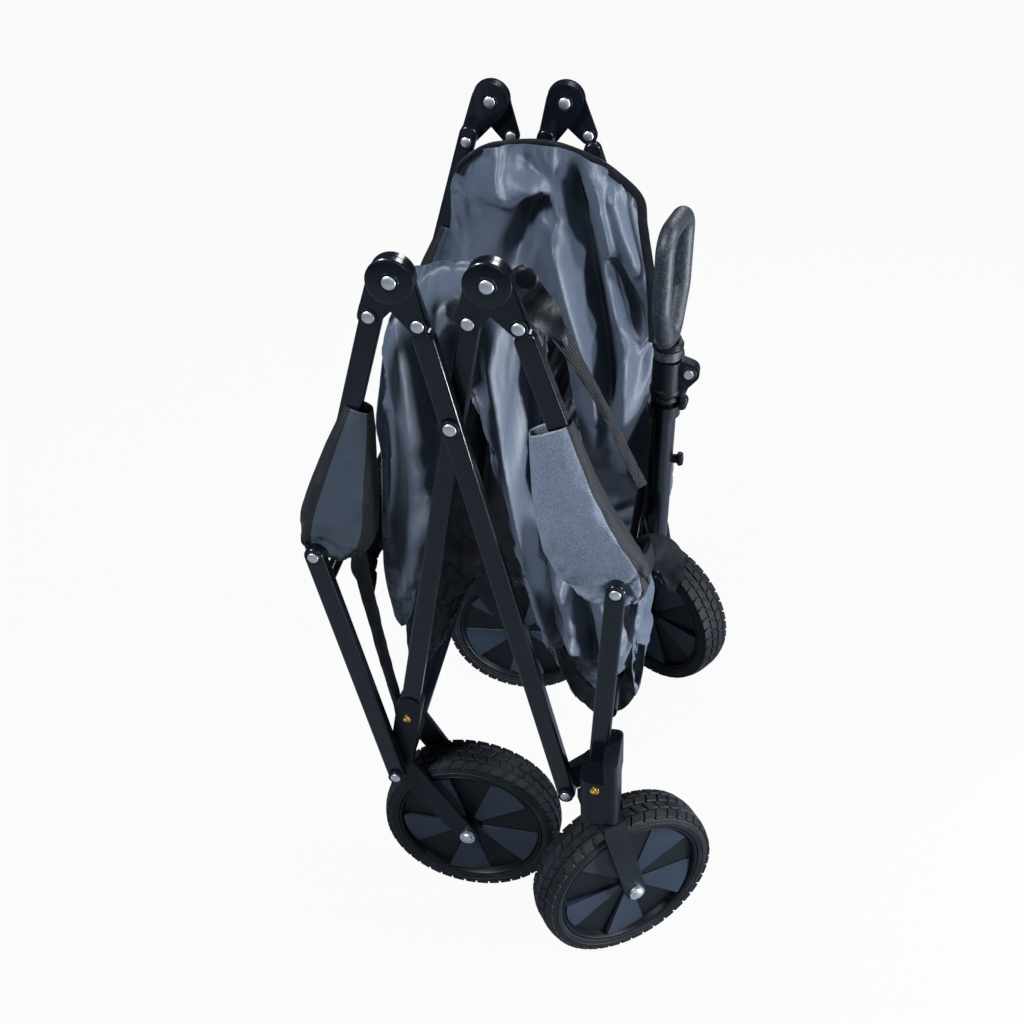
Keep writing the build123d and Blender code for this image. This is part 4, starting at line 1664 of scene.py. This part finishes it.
        def shares(y: float) -> tuple[float, float, float]:
            """Dip squared, step past the handle and turn in at the corner, along Y."""
            out = abs(y) / half
            return out ** 2, eased((abs(y) - 0.026) / 0.030), eased((out - 0.86) / 0.14)

        def line(y: float) -> Track:
            """The wall's line at a place along Y."""
            dip, ease, corner = shares(y)
            top = 0.392 + 0.078 * dip
            low = 0.354 - 0.050 * ease + 0.004 * math.sin(y * 90.0)
            ahead = 0.1000 + 0.0085 * ease - 0.006 * corner
            wave = 0.0035 * math.sin(y * 75.0 + 1.2) * ease
            drop = top - low
            return Track((
                (ahead - 0.004, top),
                (ahead + wave, top - 0.3 * drop),
                (ahead + 0.002 - wave, top - 0.6 * drop),
                (ahead - 0.001 + wave, low),
            ))

        cloth = CrossCloth("end_wall_front", half, line, 0.0018, Finish.SLATE, rows=44)
        hem = []
        for part in range(17):
            y = -reach + 2 * reach * part / 16
            dip, ease, corner = shares(y)
            hem.append((0.0985 + 0.0095 * ease - 0.006 * corner, y, 0.384 + 0.078 * dip))
        tape = Ribbon("hem_front", Track(hem), mm(18, 22, 26, 22, 18), Vector((1, 0, 0.2)),
                      steps=90, waves=0.0012)
        return [cloth.whole("front_frame", 0.36, "cloth_front"), tape.ride("front_frame")]

    def rear_wall(self) -> list[Object]:
        """The rear end wall, gathered up at the rear bar."""
        def line(y: float) -> Track:
            """The wall's line at a place along Y."""
            wave = 0.004 * math.sin(y * 70.0)
            return Track((
                (-0.163, 0.462),
                (-0.1645 + wave, 0.440),
                (-0.158 - wave, 0.418),
                (-0.150 + wave, 0.396 + 0.004 * math.sin(y * 55.0)),
            ))

        cloth = CrossCloth("end_wall_rear", 0.160, line, 0.002, rows=30)
        return [cloth.whole("rear_frame", 0.32, "cloth_rear")]

    def sleeves(self) -> list[Object]:
        """The four rail sleeves."""
        link = self.linkage
        rear = points(
            5, 158, 11.5, 12.5, 8.5, 9, 140, 14, 19, 9.5, 12.5, 110, 18.5, 27, 10, 15,
            80, 21.5, 35, 10.5, 16.5, 55, 23.5, 42, 10.5, 16.5, 34, 24, 46, 10.5, 14,
            18, 22.5, 45, 10, 8.5, 4, 16.5, 39, 9.5, 8, -8, 8, 24, 8, 7,
        )
        front = points(
            5, 160, 20, 18, 8, 8.5, 135, 29, 17.5, 8, 11, 105, 39, 17.5, 8, 13,
            75, 47, 19, 8, 14, 48, 50, 23, 8, 13.5, 26, 49, 27, 8, 10.5,
            8, 44, 29, 8, 8.5, -10, 33, 26, 8, 8.5, -24, 14, 14, 7, 7,
        )
        ends = (
            # Painted shade: the rear sleeves wear a darker copy of the cloth.
            ("rear", link.rear_rail, link.rear_hub, 0.1790, rear, (1.20, 0.80), Finish.POCKET),
            # Painted light: the front sleeves wear a lighter copy of the cloth.
            ("front", link.front_rail, link.front_hub, 0.1960, front, (0.0, 0.80), Finish.SLEEVE),
        )
        made = [
            RailSleeve(f"sleeve_{end}_{tag}", f"{end}_rails", *rest, side).build()
            for side, tag in ((-1, "right"), (1, "left"))
            for end, *rest in ends
        ]
        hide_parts("sleeve_rear")
        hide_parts("sleeve_front")
        return made

    def tapes(self) -> list[Object]:
        """The two straps and the two loose flaps."""
        strap = Ribbon(
            "hanging_strap",
            Track(points(3, 15, -150, 712, 24, -141, 692, 35, -128, 664, 52, -106, 614,
                         72, -80, 550, 84, -66, 508, 97, -52, 466)),
            mm(12, 16, 11, 8.5, 8, 9, 9.5), Vector((0.35, -0.9, 0.25)), Finish.WEBBING, 80, 0.0012,
        )
        flap = Ribbon(
            "corner_flap",
            Track(points(3, 6, -158, 738, 14, -160, 722, 24, -158, 704, 33, -150, 684,
                         40, -140, 662)),
            mm(12, 24, 26, 16, 4), Vector((0.1, -0.9, 0.4)), steps=40, waves=0.0045,
        )
        foot = Ribbon(
            "foot_flap",
            Track(points(3, 86, -56, 372, 94, -54, 388, 107, -52, 393, 121, -50, 385,
                         129, -48, 362, 128, -46, 336)),
            mm(10, 22, 30, 30, 20, 6), Vector((0.1, -0.9, 0.3)), steps=50, waves=0.003,
        )
        drop = Ribbon(
            "drop_strap",
            Track(points(3, -153, -162.5, 452, -149, -163, 400, -142, -163, 330,
                         -134, -163, 262, -132, -163, 235)),
            mm(16, 13, 11, 9), Vector((0, -1, 0)), waves=0.0018,
        )
        return [
            strap.ride("cloth_middle"), flap.ride("cloth_middle"),
            foot.ride("front_frame"), drop.ride("rear_frame"),
        ]

    def build(self) -> list[Object]:
        """All the cloth."""
        made = self.far_panel()
        near = self.near_panel()
        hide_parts("cloth_walls")
        made += near
        for part in (self.lining, self.pouch, self.floor_fold, self.front_wall, self.rear_wall,
                     self.sleeves, self.tapes):
            made += part()
        return made


# --- studio -----------------------------------------------------------------------------------


@dataclass
class Studio:
    """Pale floor, white surroundings, soft lamps and the camera.

    A lamp's row has its place, its width and its power; all point at the middle.
    """

    camera_place: Row = (0.1875, -1.0700, 1.1855)
    heading: float = 12.385
    dip: float = 36.686
    roll: float = -3.235
    lens: float = 46.19
    shift: Place = (0.0055, 0.0109)
    middle: Row = (0.0, 0.0, 0.42)
    lamp_colour: Row = (0.93, 0.965, 1.0)
    lamps: dict[str, tuple[Row, float, float]] = field(default_factory=lambda: {
        "key": ((-1.1, -1.2, 2.1), 0.45, 70),
        "right": ((1.7, -0.1, 1.5), 0.45, 46),
        "back": ((0.4, 1.7, 1.9), 0.6, 20),
        "fill": ((0.5, -2.2, 1.3), 1.0, 6),
        "edge": ((1.35, -0.35, 0.20), 0.20, 26),
    })

    def floor(self) -> None:
        """A wide white floor that keeps a soft shadow."""
        shader = Shader("studio_floor")
        shader.dress(Base_Color=(0.26, 0.29, 0.34, 1), Roughness=0.9, Specular_IOR_Level=0.0)
        own = Signal(shader, shader.surface.outputs[0])
        white = shader.whitened(own, "ShaderNodeEmission", 0.94)
        shader.feed(shader.output.inputs[0], white)
        bm = bmesh.new()
        bmesh.ops.create_grid(bm, x_segments=1, y_segments=1, size=9.0)
        mesh = bpy.data.meshes.new("floor")
        bm.to_mesh(mesh)
        bm.free()
        mesh.materials.append(shader.material)
        linked("floor", mesh)

    def surroundings(self) -> None:
        """White where it is seen, softer where it lights."""
        world = bpy.data.worlds.new("studio")
        bpy.context.scene.world = world
        world.use_nodes = True
        graph = Graph(world.node_tree)
        dim = graph.node("ShaderNodeBackground", None, {0: (0.80, 0.90, 1.0, 1), 1: 0.05})
        output = graph.tree.nodes.new("ShaderNodeOutputWorld")
        graph.feed(output.inputs[0], graph.whitened(dim, "ShaderNodeBackground", 1.0))

    def lamp(self, name: str, place: Vector, size: float, watts: float) -> None:
        """A soft square lamp.

        Args:
            name: its name.
            place: where it stands.
            size: its width.
            watts: its power.
        """
        light = bpy.data.lights.new(name, "AREA")
        light.shape = "SQUARE"
        light.size = size
        light.energy = watts
        light.color = self.lamp_colour
        lamp = linked(name, light)
        lamp.location = place
        lamp.rotation_euler = (Vector(self.middle) - place).to_track_quat("-Z", "Y").to_euler()

    def camera(self) -> None:
        """The view."""
        yaw, dip, roll = (math.radians(v) for v in (self.heading, self.dip, self.roll))
        level = math.cos(dip)
        ahead = Vector((-math.sin(yaw) * level, math.cos(yaw) * level, -math.sin(dip)))
        right = Vector((math.cos(yaw), math.sin(yaw), 0))
        up = right.cross(ahead)
        c, s = math.cos(roll), math.sin(roll)
        right, up = c * right + s * up, c * up - s * right
        data = bpy.data.cameras.new("view")
        data.lens = self.lens
        data.sensor_width = 36.0
        data.shift_x, data.shift_y = self.shift
        data.clip_start = 0.05
        camera = linked("view", data)
        turn = Matrix((right, up, -ahead)).transposed().to_4x4()
        camera.matrix_world = Matrix.Translation(self.camera_place) @ turn
        bpy.context.scene.camera = camera

    def build(self) -> None:
        """The whole studio."""
        self.floor()
        self.surroundings()
        for name, (place, size, watts) in self.lamps.items():
            self.lamp(name, Vector(place), size, watts)
        self.camera()
        bpy.context.scene.view_settings.view_transform = "Standard"


def main() -> None:
    """Build the wagon and its studio, and report each piece."""
    logging.basicConfig(level=logging.INFO, format="%(message)s")
    linkage = Linkage({j["name"]: j for j in frame["record"]["behaviour"]["joints"]})
    Studio().build()
    frames = SideFrames(linkage)
    frames.dress()
    pieces = frames.build()
    for place in ("rear_left", "rear_right", "front_left", "front_right"):
        joint = f"wheel_{place}_spin"
        outward = linkage.axis(joint) * (-1 if "right" in place else 1)
        pieces += RoadWheel(place, linkage.pivot(joint), outward).build()
    pieces += PullHandle().build()
    pieces += Tub(linkage).build()
    for piece in pieces:
        log.info("piece %s: %d faces", piece.name, len(piece.data.polygons))


if __name__ == "__main__":
    main()
